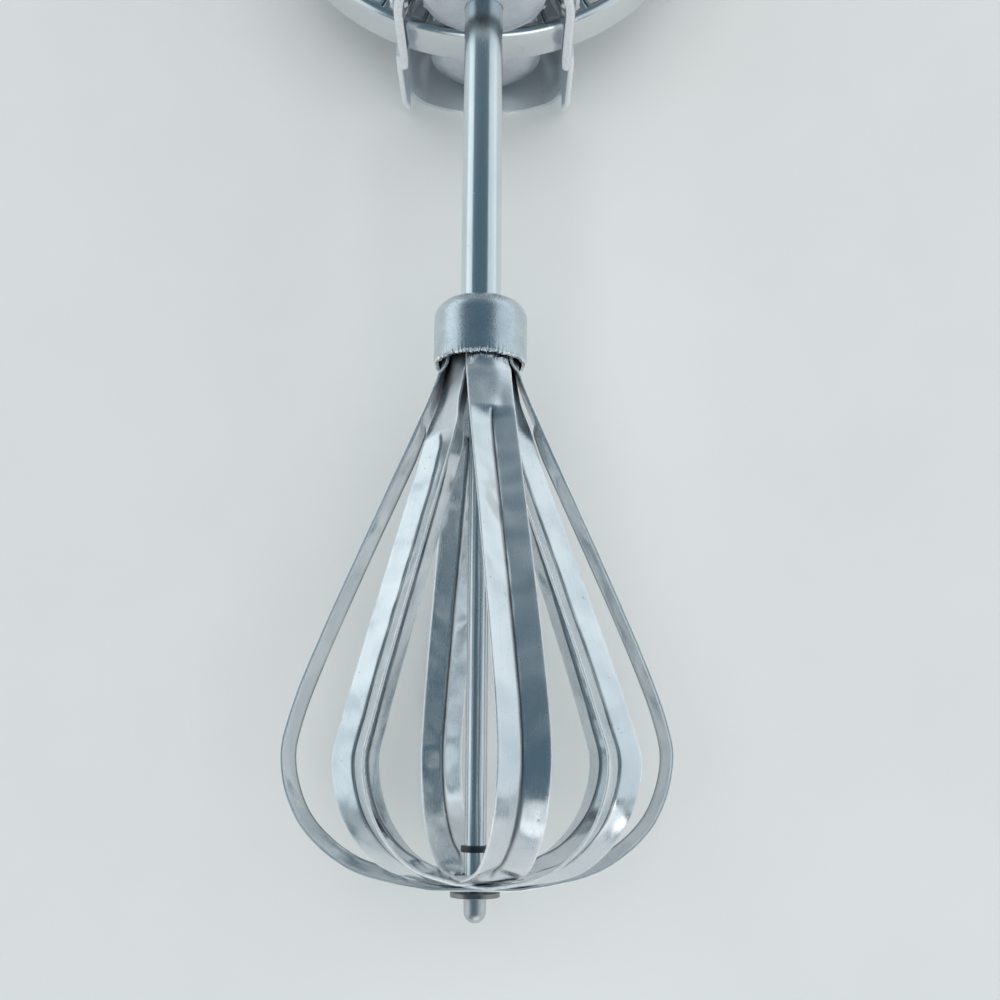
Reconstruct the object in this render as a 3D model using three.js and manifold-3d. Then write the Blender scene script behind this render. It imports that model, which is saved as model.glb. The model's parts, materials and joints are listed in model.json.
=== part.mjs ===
// Rotary egg beater, lying on its back: a whisk of four nested blade loops, driven through a slotted wheel by a crank.
// Units are millimetres, +Z is up, the shaft runs along Y with the handle at +Y.
// Heights along the shaft are counted from the underside of the blade stack, and z from the shaft's own axis,
// until the last lines move the whole beater onto the ground.
import * as THREE from 'three';
import { mergeVertices } from 'three/addons/utils/BufferGeometryUtils.js';
import Module from 'manifold-3d';

const wasm = await Module();
wasm.setup();

// Clearances
const RUN_GAP = 0.15; // radial play of a part that turns
const SEAT_GAP = 0.1; // play of a part that is pressed or riveted in place
const SIDE_GAP = 0.3; // end play between parts that turn past each other
const OVERRUN = 2; // how far a cutter passes the face that it opens

// Shaft
const TUBE_RADIUS = 3.175;
const TUBE_WALL = 0.55;
const ROD_RADIUS = 1.55;
const SHAFT_REACH = 53.3; // from the blade cap to the lower end of the frame

// Whisk
const WHISK_HEIGHT = 77.8; // from the underside of the stack to the cap's rim
const WIDEST_HEIGHT = 17.3;
const STRIP_WIDTH = 7.2;
const STRIP_THICKNESS = 0.55;
const CREASE_DEPTH = 1.1;
const CREASE_RAMP = 2.2; // length in which the crease comes up to its depth
const CREASE_END_RADIUS = 8.6; // the creases run out by this radius
const HUB_FLAT_RADIUS = 6.5; // the strips lie flat inside this radius
const STACK_GAP = 0.42; // between the strips of the stack
// How wide a strip is, as a share of its widest, where its straight side ends
const STRAIGHT_SHARES = { inner: 0.925, outer: 0.965 };
const STRAIGHT_LEVEL = 7; // height of that place above the widest one
// Two loops have their necks inside, and two outside, against the cap
const INNER_NECK_RADIUS = 5.1; // inside the cap
const OUTER_NECK_RADIUS = 5.85;
const INNER_BEND_RADIUS = 7.5; // where the creases start
const OUTER_BEND_RADIUS = 8.4;
const INNER_CREASE_START = 11.5; // distance of that place below the cap's rim
const OUTER_CREASE_START = 8.4;
const INNER_NECK_BEND = 3; // distance below the rim where the necks start to open
const OUTER_NECK_BEND = 2;
const INNER_NECK_WIDTH = 5.2;
const OUTER_NECK_WIDTH = 7.2;
const LAYER_RADII = { inner: INNER_NECK_RADIUS, outer: OUTER_NECK_RADIUS };
const BEND_RADII = { inner: INNER_BEND_RADIUS, outer: OUTER_BEND_RADIUS };
const CREASE_STARTS = { inner: INNER_CREASE_START, outer: OUTER_CREASE_START };
const NECK_BENDS = { inner: INNER_NECK_BEND, outer: OUTER_NECK_BEND };
const NECK_WIDTHS = { inner: INNER_NECK_WIDTH, outer: OUTER_NECK_WIDTH };
const NECK_TAPER = 5; // length in which a neck widens to the strip's own width, above the crease's start
// Where the lower curve passes, as shares of the greatest radius and of the drop from the widest place to the hub
const LOWER_CURVE_SHARES = [[0.9, 0.47], [0.655, 0.82], [0.39, 0.953], [0.14, 1]];
const LOOP_STATIONS = 48;
// Azimuths are counted from +Z towards +X. Each loop has its reach on either side, as shares of the widest, and its
// level in the hub stack.
const WHISK_RADIUS = 28.3; // reach of the widest loop
const LOOPS = [
  { name: 'blade_loop_side', azimuth: 88, radiusShares: [0.986, 0.979], level: 0, layer: 'outer' },
  { name: 'blade_loop_right', azimuth: 46, radiusShares: [0.961, 0.912], level: 1, layer: 'inner' },
  { name: 'blade_loop_left', azimuth: 133, radiusShares: [0.989, 0.806], level: 2, layer: 'inner' },
  { name: 'blade_loop_front', azimuth: 13, radiusShares: [1, 1], level: 3, layer: 'outer' },
];

// Blade cap and its core
const CAP_RADIUS = 7.27;
const CAP_LENGTH = 10.2;
const CAP_WALL = 0.65;
const CAP_SHOULDER = 2.6;
const CORE_RADIUS = 4.5;
const CORE_FLOOR = 3; // height of the core's closed-in lower end, which runs on the rod
const CORE_STAND = 0.6; // how far the core sits above the rim

// Hub of the whisk
const HUB_WASHER_RADIUS = 3.55;
const HUB_WASHER_THICKNESS = 0.8;
const HUB_RIVET_RADIUS = 0.5;
const HUB_RIVET_HEAD_RADIUS = 1.25;
const HUB_RIVET_HEAD = 0.5;
const HUB_RIVET_REACH = 2.9; // distance of each rivet from the rod's axis
const HUB_RIVET_AZIMUTH = 60;
const ROD_END = 3; // length of the rod's rounded end below the washer
const RING_RADIUS = 2.1;
const RING_HEIGHT = 0.9;
const RING_LIFT = 1.6; // above the top strip

// Drive wheel: a stamped pan with radial slots, its open side to the rear
const WHEEL_RADIUS = 41.3;
const WHEEL_SHEET = 0.8;
const WHEEL_DEPTH = 7.7;
const WHEEL_SHOULDER = 1.7;
const WHEEL_RISE = 1.2; // lowest point of the wheel above the frame's lower end
const SLOT_WIDTH = 2.45;
const SLOT_LENGTH = 5.7;
const SLOT_MARGIN = 1.8; // from the slots' outer ends to the wheel's edge
const SLOT_PITCH = 3.87; // from slot to slot, where the teeth mesh
const BEAD_INSET = 9.8; // from the slots' inner ends to the pressed ring that stiffens the face
const BEAD_HEIGHT = 0.9;
const BEAD_HALF_WIDTH = 2.6;

// Drive pinion on the tube, with the dished shield under it
const PINION_TEETH = 18;
const MESH_INSET = 2.5; // from the slots' outer ends to the middle of the teeth
const TOOTH_LENGTH = 4;
const TOOTH_ADDENDUM = 0.95;
const TOOTH_DEDENDUM = 1.5;
const TOOTH_ROOT_WIDTH = 1.9;
const TOOTH_TIP_WIDTH = 0.85;
const SHIELD_RADIUS = 10.5;
const SHIELD_BULGE = 2.4;
const SHIELD_RIM = 1;
// How the dished faces of the shield and the idler curve, as shares of radius and of bulge
const DISH_SHARES = [[0.55, 0.82], [0.8, 0.45], [0.96, 0]];
const SHIELD_LIP = 0.6; // its rim above the frame's lower end, less the bulge
const PINION_NECK_RADIUS = 5.4;
const PINION_NECK = 1.6;

// Idler roller that backs the wheel
const IDLER_RADIUS = 10.6;
const IDLER_RELIEF = 0.4; // its lower part is smaller by this, clear of the pinion's tooth tips
const IDLER_BAND = 1.6; // height of the band that touches the wheel, inside the slots
const IDLER_RISE = 4.6; // its rim above the frame's lower end
const SPINDLE_RADIUS = 1.6;
const SPINDLE_HEAD_RADIUS = 2.9;
const SPINDLE_HEAD = 0.7;

// Frame: a front half and a rear half, pressed from sheet
const SHEET = 0.9;
const COLLAR_HALF_WIDTH = 15.9; // outside of the front half
const COLLAR_FRONT = 14.4; // z of the front half's face
const COLLAR_REAR = 35.2; // depth of the rear half's face behind the shaft
const COLLAR_LENGTH = 8.6; // length of the full cheeks
const CHEEK_TAPER = 13; // length in which the cheeks run out
const ARCH_HEIGHT = 18.4; // of the front half's rounded top
const FRONT_LEG_DEPTH = 19.5; // how far behind the shaft the front cheeks reach
const REAR_LEG_DEPTH = 5; // how far behind the shaft the rear cheeks start
const STRAP_HALF_WIDTH = 10;
const STRAP_CORNER = 2.2;
const ARCH_SQUARENESS = 1.85; // exponent of the rounded top: 2 is an ellipse, and more is squarer
const STRAP_FLANGE = 4.4; // height of the strap's turned-down edges
const COLLAR_CORNER = 4.5;
const TONGUE_RELIEF = 3.4; // how far the rear wall's lower edge draws back beside the cheeks
const TANG_HALF_WIDTH = 5.6;
const TANG_CORNER = 0.95;
const TANG_LENGTH = 30;
const TANG_BEND = 21; // length of the bend from the strap to the tang
const TANG_GAP = 0.4;
const WHEEL_ROOM = 0.6; // clearance of the frame round the wheel's rim
const FRAME_STATIONS = 18;
const ARCH_POINTS = 10;
const FRAME_RIVET_RADIUS = 1;
const FRAME_RIVET_HEAD_RADIUS = 1.9;
const FRAME_RIVET_HEAD = 0.7;
const FRAME_RIVET_RISE = 6.4; // above the frame's lower end
const FRAME_RIVET_DEPTH = 7.7; // behind the shaft's axis

// Brackets that carry the rod and the idler
const BRACKET_RISE = 11.6; // above the frame's lower end
const BRACKET_SHEET = 1.3;
const BRACKET_HALF_WIDTH = 4.6;
const BRACKET_FOOT = 9;
const BRACKET_RIVET_SPREAD = 2.3;
const BRACKET_RIVET_RADIUS = 1;
const BRACKET_RIVET_HEAD_RADIUS = 1.8;
const BRACKET_RIVET_HEAD = 0.7;
const NUT_RADIUS = 2.9;
const NUT_HEIGHT = 2.4;

// Wheel axle, its bushes and hubs
const AXLE_RADIUS = 3;
const BUSH_WALL = 1.4;
const BUSH_FLANGE_RADIUS = 5.8;
const BUSH_FLANGE = 0.8;
const HUB_RADIUS = 5.2;
const HUB_FLANGE_RADIUS = 9.6;
const HUB_FLANGE = 1.1;
const WHEEL_RIVETS = 3;
const WHEEL_RIVET_CIRCLE = 7.3;
const WHEEL_RIVET_RADIUS = 0.9;
const WHEEL_RIVET_HEAD_RADIUS = 1.7;
const WHEEL_RIVET_HEAD = 0.8;

// Crank and knob
const CRANK_LENGTH = 34;
const CRANK_ANGLE = 60; // from +X towards +Y
const CRANK_THICKNESS = 2;
const CRANK_HUB_RADIUS = 7;
const CRANK_END_RADIUS = 5;
const CRANK_WAIST_SHARE = 0.62; // half width of the arm's waist, as a share of its end
const AXLE_HEAD_RADIUS = 4.6;
const AXLE_HEAD = 1.3;
const KNOB_PIN_RADIUS = 1.8;
const KNOB_PIN_HEAD_RADIUS = 3.2;
const KNOB_PIN_HEAD = 0.7;
const KNOB_LENGTH = 27;
const KNOB_RADIUS = 8.6;
const KNOB_FOOT_RADIUS = 5.4;
const KNOB_CAP = 1.6;

// Handle
const GRIP_LENGTH = 74;
const GRIP_RADIUS = 13.4;
const GRIP_NECK_RADIUS = 9.6;
const GRIP_BUTT_RADIUS = 8;
const FERRULE_LENGTH = 13;
const FERRULE_WALL = 0.7;
const FERRULE_RADIUS = 10.6;
const FERRULE_TOP_RADIUS = 8.4;
const FERRULE_PIN_RADIUS = 1.2;
const FERRULE_PIN_HEAD_RADIUS = 2.1;
const FERRULE_PIN_HEAD = 0.7;

// Facets
const ROUND = 24;
const SMALL_ROUND = 12;

// Derived sizes of the wheel
const slotOuter = WHEEL_RADIUS - SLOT_MARGIN;
const slotInner = slotOuter - SLOT_LENGTH;
const beadRadius = slotInner - BEAD_INSET;
const meshRadius = slotOuter - MESH_INSET;
const wheelTeeth = Math.round((2 * Math.PI * meshRadius) / SLOT_PITCH); // 60

// Derived places along the shaft
const stripPitch = STRIP_THICKNESS + STACK_GAP;
const stackTop = STRIP_THICKNESS + stripPitch * (LOOPS.length - 1);
const capRimY = WHISK_HEIGHT;
const capTopY = capRimY + CAP_LENGTH;
const collarY = capTopY + SHAFT_REACH;
const wheelY = collarY + WHEEL_RISE + WHEEL_RADIUS;
const ringY = stackTop + RING_LIFT;
const washerY = -SIDE_GAP - HUB_WASHER_THICKNESS;
const bracketY = collarY + BRACKET_RISE;
const tubeBottomY = capRimY + CORE_STAND + CORE_FLOOR;
const tubeTopY = bracketY - SIDE_GAP - BUSH_FLANGE;
const toothBottomY = wheelY - meshRadius - TOOTH_LENGTH / 2;
const toothTopY = toothBottomY + TOOTH_LENGTH;
const strapEndY = wheelY + WHEEL_RADIUS + WHEEL_ROOM - TANG_BEND / 3;
const tangY = strapEndY + TANG_BEND;
const ferruleY = tangY;
const gripY = ferruleY + FERRULE_WALL + SEAT_GAP;

// Derived depths: the pitch circles of the pinion and the wheel meet in the middle of the wheel's sheet
const pitchRadius = (meshRadius * PINION_TEETH) / wheelTeeth;
const faceZ = -pitchRadius + WHEEL_SHEET / 2;
const plateRearZ = faceZ - WHEEL_SHEET;
const skirtZ = faceZ - WHEEL_DEPTH;
const idlerZ = plateRearZ - SIDE_GAP - IDLER_RADIUS;
const rearFaceZ = -COLLAR_REAR;
const handleZ = (COLLAR_FRONT + rearFaceZ) / 2;
const crankZ = COLLAR_FRONT + BUSH_FLANGE + SIDE_GAP + KNOB_PIN_HEAD;
const boreRadius = AXLE_RADIUS + RUN_GAP;

// Materials
const steel = (color, roughness) => new THREE.MeshStandardMaterial({ color, roughness, metalness: 1 });
const nickel = () => steel(0xc9cdd0, 0.22);
const satinNickel = () => steel(0xb4b9bb, 0.4);
const darkSteel = () => steel(0x5a5d5f, 0.5);
const lacquer = () => new THREE.MeshStandardMaterial({ color: 0x9c1c16, roughness: 0.3, metalness: 0 });

// A geometry's shared points are merged and its collapsed faces dropped, with its faces turned outwards
function tidy(geometry) {
  const bare = new THREE.BufferGeometry();
  bare.setAttribute('position', geometry.getAttribute('position').clone());
  if (geometry.index) bare.setIndex(geometry.index.clone());
  const merged = mergeVertices(bare, 1e-4);
  const index = merged.index.array;
  const place = merged.getAttribute('position');
  const corners = [0, 1, 2].map(() => new THREE.Vector3());
  const kept = [];
  let volume = 0;
  for (let i = 0; i < index.length; i += 3) {
    const face = [index[i], index[i + 1], index[i + 2]];
    if (new Set(face).size < 3) continue;
    kept.push(...face);
    corners.forEach((corner, k) => corner.fromBufferAttribute(place, face[k]));
    volume += corners[0].dot(corners[1].cross(corners[2]));
  }
  merged.setIndex(volume < 0 ? kept.reverse() : kept);
  return merged;
}

function toSolid(geometry) {
  const shape = tidy(geometry);
  return new wasm.Manifold(new wasm.Mesh({
    numProp: 3,
    vertProperties: new Float32Array(shape.getAttribute('position').array),
    triVerts: new Uint32Array(shape.index.array),
  }));
}

function fromSolid(solid) {
  const mesh = solid.getMesh();
  const geometry = new THREE.BufferGeometry();
  geometry.setAttribute('position', new THREE.BufferAttribute(new Float32Array(mesh.vertProperties), 3));
  geometry.setIndex([...mesh.triVerts]);
  return geometry;
}

function cut(geometry, ...cutters) {
  return fromSolid(cutters.reduce((solid, cutter) => solid.subtract(toSolid(cutter)), toSolid(geometry)));
}

function join(...geometries) {
  const [first, ...rest] = geometries.map(toSolid);
  return fromSolid(rest.reduce((solid, other) => solid.add(other), first));
}

// A profile of [radius, height] points turned about the Y axis
function turnedY(profile, sides = ROUND) {
  return tidy(new THREE.LatheGeometry(profile.map(([r, y]) => new THREE.Vector2(r, y)), sides));
}

// The same about the Z axis, with heights along +Z
const turnedZ = (profile, sides = ROUND) => turnedY(profile, sides).rotateX(Math.PI / 2);

// A closed ring profile between two radii and two heights
const ringProfile = (inner, outer, low, high) => [[inner, low], [outer, low], [outer, high], [inner, high], [inner, low]];
const rodProfile = (radius, low, high) => [[0, low], [radius, low], [radius, high], [0, high]];

// A round bar from one height to another, for pins and for holes
const barY = (radius, low, high, sides = SMALL_ROUND) => turnedY(rodProfile(radius, low, high), sides);
const barZ = (radius, low, high, sides = SMALL_ROUND) => turnedZ(rodProfile(radius, low, high), sides);

// A rivet or pin with a domed head at its far end and, if asked for, one at its near end
function rivetProfile(radius, headRadius, head, low, high, twoHeads = true) {
  const dome = [[headRadius, high], [headRadius * Math.cos(Math.PI / 5), high + head * Math.sin(Math.PI / 3)],
    [0, high + head]];
  const foot = twoHeads
    ? [[0, low - head], [headRadius * Math.cos(Math.PI / 5), low - head * Math.sin(Math.PI / 3)], [headRadius, low],
      [radius, low]]
    : [[0, low], [radius, low]];
  return [...foot, [radius, high], ...dome];
}

// A quarter circle of [r, y] points about a centre, between two angles in degrees
function arc(centreR, centreY, radius, fromDegrees, toDegrees, steps) {
  return Array.from({ length: steps + 1 }, (_, i) => {
    const angle = THREE.MathUtils.degToRad(fromDegrees + ((toDegrees - fromDegrees) * i) / steps);
    return [centreR + radius * Math.cos(angle), centreY + radius * Math.sin(angle)];
  });
}

// A solid skin over rings of points: every ring has the same count, and the first and last are closed by strips
// that pair each point of a ring's first half with one of its second half
function skin(rings) {
  const count = rings[0].length;
  const positions = rings.flatMap((ring) => ring.flatMap((p) => [p.x, p.y, p.z]));
  const index = [];
  for (let i = 0; i + 1 < rings.length; i += 1) {
    for (let j = 0; j < count; j += 1) {
      const a = i * count + j;
      const b = i * count + ((j + 1) % count);
      index.push(a, b, b + count, a, b + count, a + count);
    }
  }
  const closeEnd = (start, turned) => {
    for (let j = 0; j + 1 < count / 2; j += 1) {
      const [a, b, c, d] = [start + j, start + j + 1, start + count - 2 - j, start + count - 1 - j];
      const faces = turned ? [a, b, c, a, c, d] : [a, c, b, a, d, c];
      index.push(...faces);
    }
  };
  closeEnd(0, false);
  closeEnd((rings.length - 1) * count, true);
  const geometry = new THREE.BufferGeometry();
  geometry.setAttribute('position', new THREE.Float32BufferAttribute(positions, 3));
  geometry.setIndex(index);
  return tidy(geometry);
}

const smooth = (value, low, high) => THREE.MathUtils.smoothstep(value, low, high);
const blend = THREE.MathUtils.lerp;

const beater = new THREE.Group();

function part(name, geometry, material, home = beater) {
  const mesh = new THREE.Mesh(geometry, material);
  mesh.name = name;
  home.add(mesh);
  return mesh;
}

// One side of a loop, from the neck in the cap down to the hub, as [radius, height]
function sideOfLoop(radius, level, layer) {
  const bottom = STRIP_THICKNESS / 2 + level * stripPitch;
  const neck = LAYER_RADII[layer];
  const drop = WIDEST_HEIGHT - bottom;
  return [
    [neck, capTopY - CAP_SHOULDER],
    [neck, capRimY - NECK_BENDS[layer] / 2],
    [blend(neck, BEND_RADII[layer], NECK_BENDS[layer] / CREASE_STARTS[layer]), capRimY - NECK_BENDS[layer] * 1.6],
    [BEND_RADII[layer], capRimY - CREASE_STARTS[layer]],
    [radius * STRAIGHT_SHARES[layer], WIDEST_HEIGHT + STRAIGHT_LEVEL],
    [radius, WIDEST_HEIGHT],
    ...LOWER_CURVE_SHARES.map(([out, down]) => [radius * out, WIDEST_HEIGHT - drop * down]),
  ];
}

// A blade loop is one strip of sheet: curved round the cap's core at its two ends, creased inwards along its
// sides, and flat where it crosses the hub
function bladeLoop({ azimuth, radiusShares, level, layer }) {
  const near = sideOfLoop(WHISK_RADIUS * radiusShares[0], level, layer);
  const far = sideOfLoop(WHISK_RADIUS * radiusShares[1], level, layer).map(([r, y]) => [-r, y]).reverse();
  const hub = [0, STRIP_THICKNESS / 2 + level * stripPitch];
  const path = new THREE.CatmullRomCurve3(
    [...near, hub, ...far].map(([r, y]) => new THREE.Vector3(r, y, 0)), false, 'centripetal');
  path.arcLengthDivisions = LOOP_STATIONS * 12;
  const turn = THREE.MathUtils.degToRad(azimuth);
  const outward = new THREE.Vector3(Math.sin(turn), 0, Math.cos(turn));
  const across = new THREE.Vector3(Math.cos(turn), 0, -Math.sin(turn));
  const creaseStart = capRimY - CREASE_STARTS[layer];
  const rings = [];
  for (let i = 0; i <= LOOP_STATIONS; i += 1) {
    const centre = path.getPointAt(i / LOOP_STATIONS);
    const along = path.getTangentAt(i / LOOP_STATIONS);
    const reach = Math.abs(centre.x);
    const onHub = reach < HUB_FLAT_RADIUS && centre.y < WIDEST_HEIGHT;
    if (onHub) centre.y = hub[1];
    const normal = onHub ? new THREE.Vector2(0, -1) : new THREE.Vector2(-along.y, along.x);
    const upper = 1 - smooth(centre.y, creaseStart - CREASE_RAMP, creaseStart);
    const lower = centre.y > WIDEST_HEIGHT ? 1 : smooth(reach, CREASE_END_RADIUS, CREASE_END_RADIUS + CREASE_RAMP);
    const crease = CREASE_DEPTH * upper * lower;
    const wrap = smooth(centre.y, creaseStart - CREASE_RAMP, creaseStart);
    const taper = smooth(centre.y, creaseStart, creaseStart + NECK_TAPER);
    const half = Math.sqrt((blend(STRIP_WIDTH, NECK_WIDTHS[layer], taper) / 2) ** 2 - crease ** 2);
    const side = (offset) => [-1, -0.5, 0, 0.5, 1].map((share) => {
      const flat = { shift: half * share, depth: crease * (1 - Math.abs(share)) };
      const angle = (half * share) / reach || 0;
      const round = { shift: reach * Math.sin(angle), depth: reach * (1 - Math.cos(angle)) };
      const depth = offset - blend(flat.depth, wrap ? round.depth : 0, wrap);
      const shift = blend(flat.shift, wrap ? round.shift : 0, wrap);
      return new THREE.Vector3(0, centre.y + normal.y * depth, 0)
        .addScaledVector(outward, centre.x + normal.x * depth)
        .addScaledVector(across, shift);
    });
    rings.push([...side(STRIP_THICKNESS / 2), ...side(-STRIP_THICKNESS / 2).reverse()]);
  }
  return skin(rings);
}

// Places of the two rivets through the hub stack
const hubRivetPlaces = [0, 180].map((turn) => {
  const angle = THREE.MathUtils.degToRad(HUB_RIVET_AZIMUTH + turn);
  return [HUB_RIVET_REACH * Math.sin(angle), HUB_RIVET_REACH * Math.cos(angle)];
});

// Holes through the hub: one for the rod and one for each rivet
function hubHoles(low, high) {
  const rivetHoles = hubRivetPlaces.map(([x, z]) =>
    barY(HUB_RIVET_RADIUS + SEAT_GAP, low - OVERRUN, high + OVERRUN, SMALL_ROUND).translate(x, 0, z));
  return [barY(ROD_RADIUS + RUN_GAP, low - OVERRUN, high + OVERRUN), ...rivetHoles];
}

function addWhisk() {
  for (const loop of LOOPS) {
    part(loop.name, cut(bladeLoop(loop), ...hubHoles(0, stackTop)), nickel());
  }
  part('hub_washer', turnedY(ringProfile(ROD_RADIUS + SEAT_GAP, HUB_WASHER_RADIUS, washerY,
    washerY + HUB_WASHER_THICKNESS)), darkSteel());
  hubRivetPlaces.forEach(([x, z], i) => {
    part(`hub_rivet_${i + 1}`, turnedY(rivetProfile(HUB_RIVET_RADIUS, HUB_RIVET_HEAD_RADIUS, HUB_RIVET_HEAD,
      SEAT_GAP, stackTop, false), SMALL_ROUND).translate(x, 0, z), nickel());
  });
}

// The cap that grips the necks of the strips, and the core that holds them out and runs on the rod
function addCap() {
  const inside = CAP_RADIUS - CAP_WALL;
  const hole = TUBE_RADIUS + SEAT_GAP;
  part('blade_cap', turnedY([
    [inside, capRimY],
    [CAP_RADIUS, capRimY],
    ...arc(CAP_RADIUS - CAP_SHOULDER, capTopY - CAP_SHOULDER, CAP_SHOULDER, 0, 90, 5),
    [hole, capTopY],
    [hole, capTopY - CAP_WALL],
    ...arc(CAP_RADIUS - CAP_SHOULDER, capTopY - CAP_SHOULDER, CAP_SHOULDER - CAP_WALL, 90, 0, 3),
    [inside, capRimY],
  ]), satinNickel());
  const coreLow = capRimY + CORE_STAND;
  const coreTop = capTopY - CAP_WALL - SIDE_GAP;
  part('blade_core', turnedY([
    [ROD_RADIUS + RUN_GAP, coreLow],
    [CORE_RADIUS, coreLow],
    [CORE_RADIUS, coreTop],
    [hole, coreTop],
    [hole, tubeBottomY - SEAT_GAP],
    [ROD_RADIUS + RUN_GAP, tubeBottomY - SEAT_GAP],
    [ROD_RADIUS + RUN_GAP, coreLow],
  ]), darkSteel());
}

// The turning tube, the bush in its top end, and the fixed rod that it runs on
function addShaft() {
  const bore = TUBE_RADIUS - TUBE_WALL;
  const rodGap = ROD_RADIUS + RUN_GAP;
  part('shaft_tube', turnedY(ringProfile(bore, TUBE_RADIUS, tubeBottomY, tubeTopY)), nickel());
  const bushLow = tubeTopY - TOOTH_LENGTH * 2;
  part('tube_bush', turnedY([
    [rodGap, bushLow],
    [bore - SEAT_GAP, bushLow],
    [bore - SEAT_GAP, tubeTopY],
    [TUBE_RADIUS, tubeTopY],
    [TUBE_RADIUS, tubeTopY + BUSH_FLANGE],
    [rodGap, tubeTopY + BUSH_FLANGE],
    [rodGap, bushLow],
  ], SMALL_ROUND), darkSteel());
  const rodTop = bracketY + BRACKET_SHEET + NUT_HEIGHT + ROD_RADIUS;
  const rodLow = washerY - ROD_END;
  part('centre_rod', turnedY([
    ...arc(0, rodLow + ROD_RADIUS, ROD_RADIUS, -90, 0, 4),
    [ROD_RADIUS, rodTop],
    [0, rodTop],
  ], SMALL_ROUND), nickel());
  part('rod_ring', turnedY(ringProfile(ROD_RADIUS + SEAT_GAP, RING_RADIUS, ringY, ringY + RING_HEIGHT), SMALL_ROUND),
    darkSteel());
  part('rod_nut', cut(barY(NUT_RADIUS, bracketY + BRACKET_SHEET, bracketY + BRACKET_SHEET + NUT_HEIGHT, 6),
    barY(ROD_RADIUS + SEAT_GAP, bracketY, rodTop + OVERRUN)), satinNickel());
}

// A toothed ring: straight-sided teeth on a core, extruded along the shaft
function pinionOutline() {
  const outline = new THREE.Shape();
  const rootRadius = pitchRadius - TOOTH_DEDENDUM;
  const tipRadius = pitchRadius + TOOTH_ADDENDUM;
  for (let i = 0; i < PINION_TEETH; i += 1) {
    const angle = (2 * Math.PI * i) / PINION_TEETH - Math.PI / 2;
    const corners = [[rootRadius, -TOOTH_ROOT_WIDTH], [tipRadius, -TOOTH_TIP_WIDTH], [tipRadius, TOOTH_TIP_WIDTH],
      [rootRadius, TOOTH_ROOT_WIDTH]];
    corners.forEach(([radius, width], k) => {
      const x = radius * Math.cos(angle) - (width / 2) * Math.sin(angle);
      const y = radius * Math.sin(angle) + (width / 2) * Math.cos(angle);
      if (i + k === 0) outline.moveTo(x, y);
      else outline.lineTo(x, y);
    });
  }
  outline.closePath();
  return outline;
}

// A shape drawn in X and Z, given a thickness along the shaft from one height
const plateAcross = (shape, low, thickness) =>
  new THREE.ExtrudeGeometry(shape, { depth: thickness, bevelEnabled: false })
    .rotateX(Math.PI / 2)
    .translate(0, low + thickness, 0);

// A shape drawn in X and Y, given a thickness along Z from one depth
const plateFlat = (shape, low, thickness) =>
  new THREE.ExtrudeGeometry(shape, { depth: thickness, bevelEnabled: false }).translate(0, 0, low);

function addPinion() {
  const hole = TUBE_RADIUS + SEAT_GAP;
  const shieldY = collarY + SHIELD_LIP + WHEEL_RISE / 2;
  const shieldTop = shieldY + SHIELD_RIM;
  part('pinion_shield', turnedY([
    [hole, shieldY - SHIELD_BULGE],
    ...DISH_SHARES.map(([out, down]) => [SHIELD_RADIUS * out, shieldY - SHIELD_BULGE * down]),
    [SHIELD_RADIUS, shieldY + SHIELD_RIM / 2],
    [SHIELD_RADIUS * 0.97, shieldTop],
    [hole, shieldTop],
    [hole, shieldY - SHIELD_BULGE],
  ], ROUND + SMALL_ROUND), satinNickel());
  const gear = join(plateAcross(pinionOutline(), toothBottomY, TOOTH_LENGTH),
    barY(PINION_NECK_RADIUS, shieldTop + SEAT_GAP, toothTopY + PINION_NECK, ROUND));
  part('drive_pinion', cut(gear, barY(hole, shieldY, toothTopY + PINION_NECK + OVERRUN, ROUND)), satinNickel());
}

// The roller behind the wheel's face, which keeps the slots on the pinion's teeth
function addIdler() {
  const hole = SPINDLE_RADIUS + RUN_GAP;
  const rimY = collarY + IDLER_RISE;
  const low = rimY - SHIELD_BULGE;
  const flange = IDLER_RADIUS - IDLER_RELIEF;
  const bandTop = bracketY - SIDE_GAP * 2;
  const idler = part('idler_roller', turnedY([
    [hole, low],
    ...DISH_SHARES.map(([out, down]) => [flange * out, rimY - SHIELD_BULGE * down]),
    [flange, rimY + SHIELD_RIM / 2],
    [flange, bandTop - IDLER_BAND],
    [IDLER_RADIUS, bandTop - IDLER_BAND],
    [IDLER_RADIUS, bandTop],
    [PINION_NECK_RADIUS, bandTop],
    [PINION_NECK_RADIUS, bracketY - SIDE_GAP],
    [hole, bracketY - SIDE_GAP],
    [hole, low],
  ], ROUND + SMALL_ROUND), satinNickel());
  idler.position.z = idlerZ;
  const top = bracketY + BRACKET_SHEET;
  const spindle = part('idler_spindle', turnedY([
    [0, low - SIDE_GAP - SPINDLE_HEAD],
    [SPINDLE_HEAD_RADIUS * 0.8, low - SIDE_GAP - SPINDLE_HEAD],
    [SPINDLE_HEAD_RADIUS, low - SIDE_GAP],
    [SPINDLE_RADIUS, low - SIDE_GAP],
    [SPINDLE_RADIUS, top],
    [SPINDLE_HEAD_RADIUS, top],
    [SPINDLE_HEAD_RADIUS * 0.7, top + SPINDLE_HEAD],
    [0, top + SPINDLE_HEAD],
  ], SMALL_ROUND), satinNickel());
  spindle.position.z = idlerZ;
}

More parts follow.
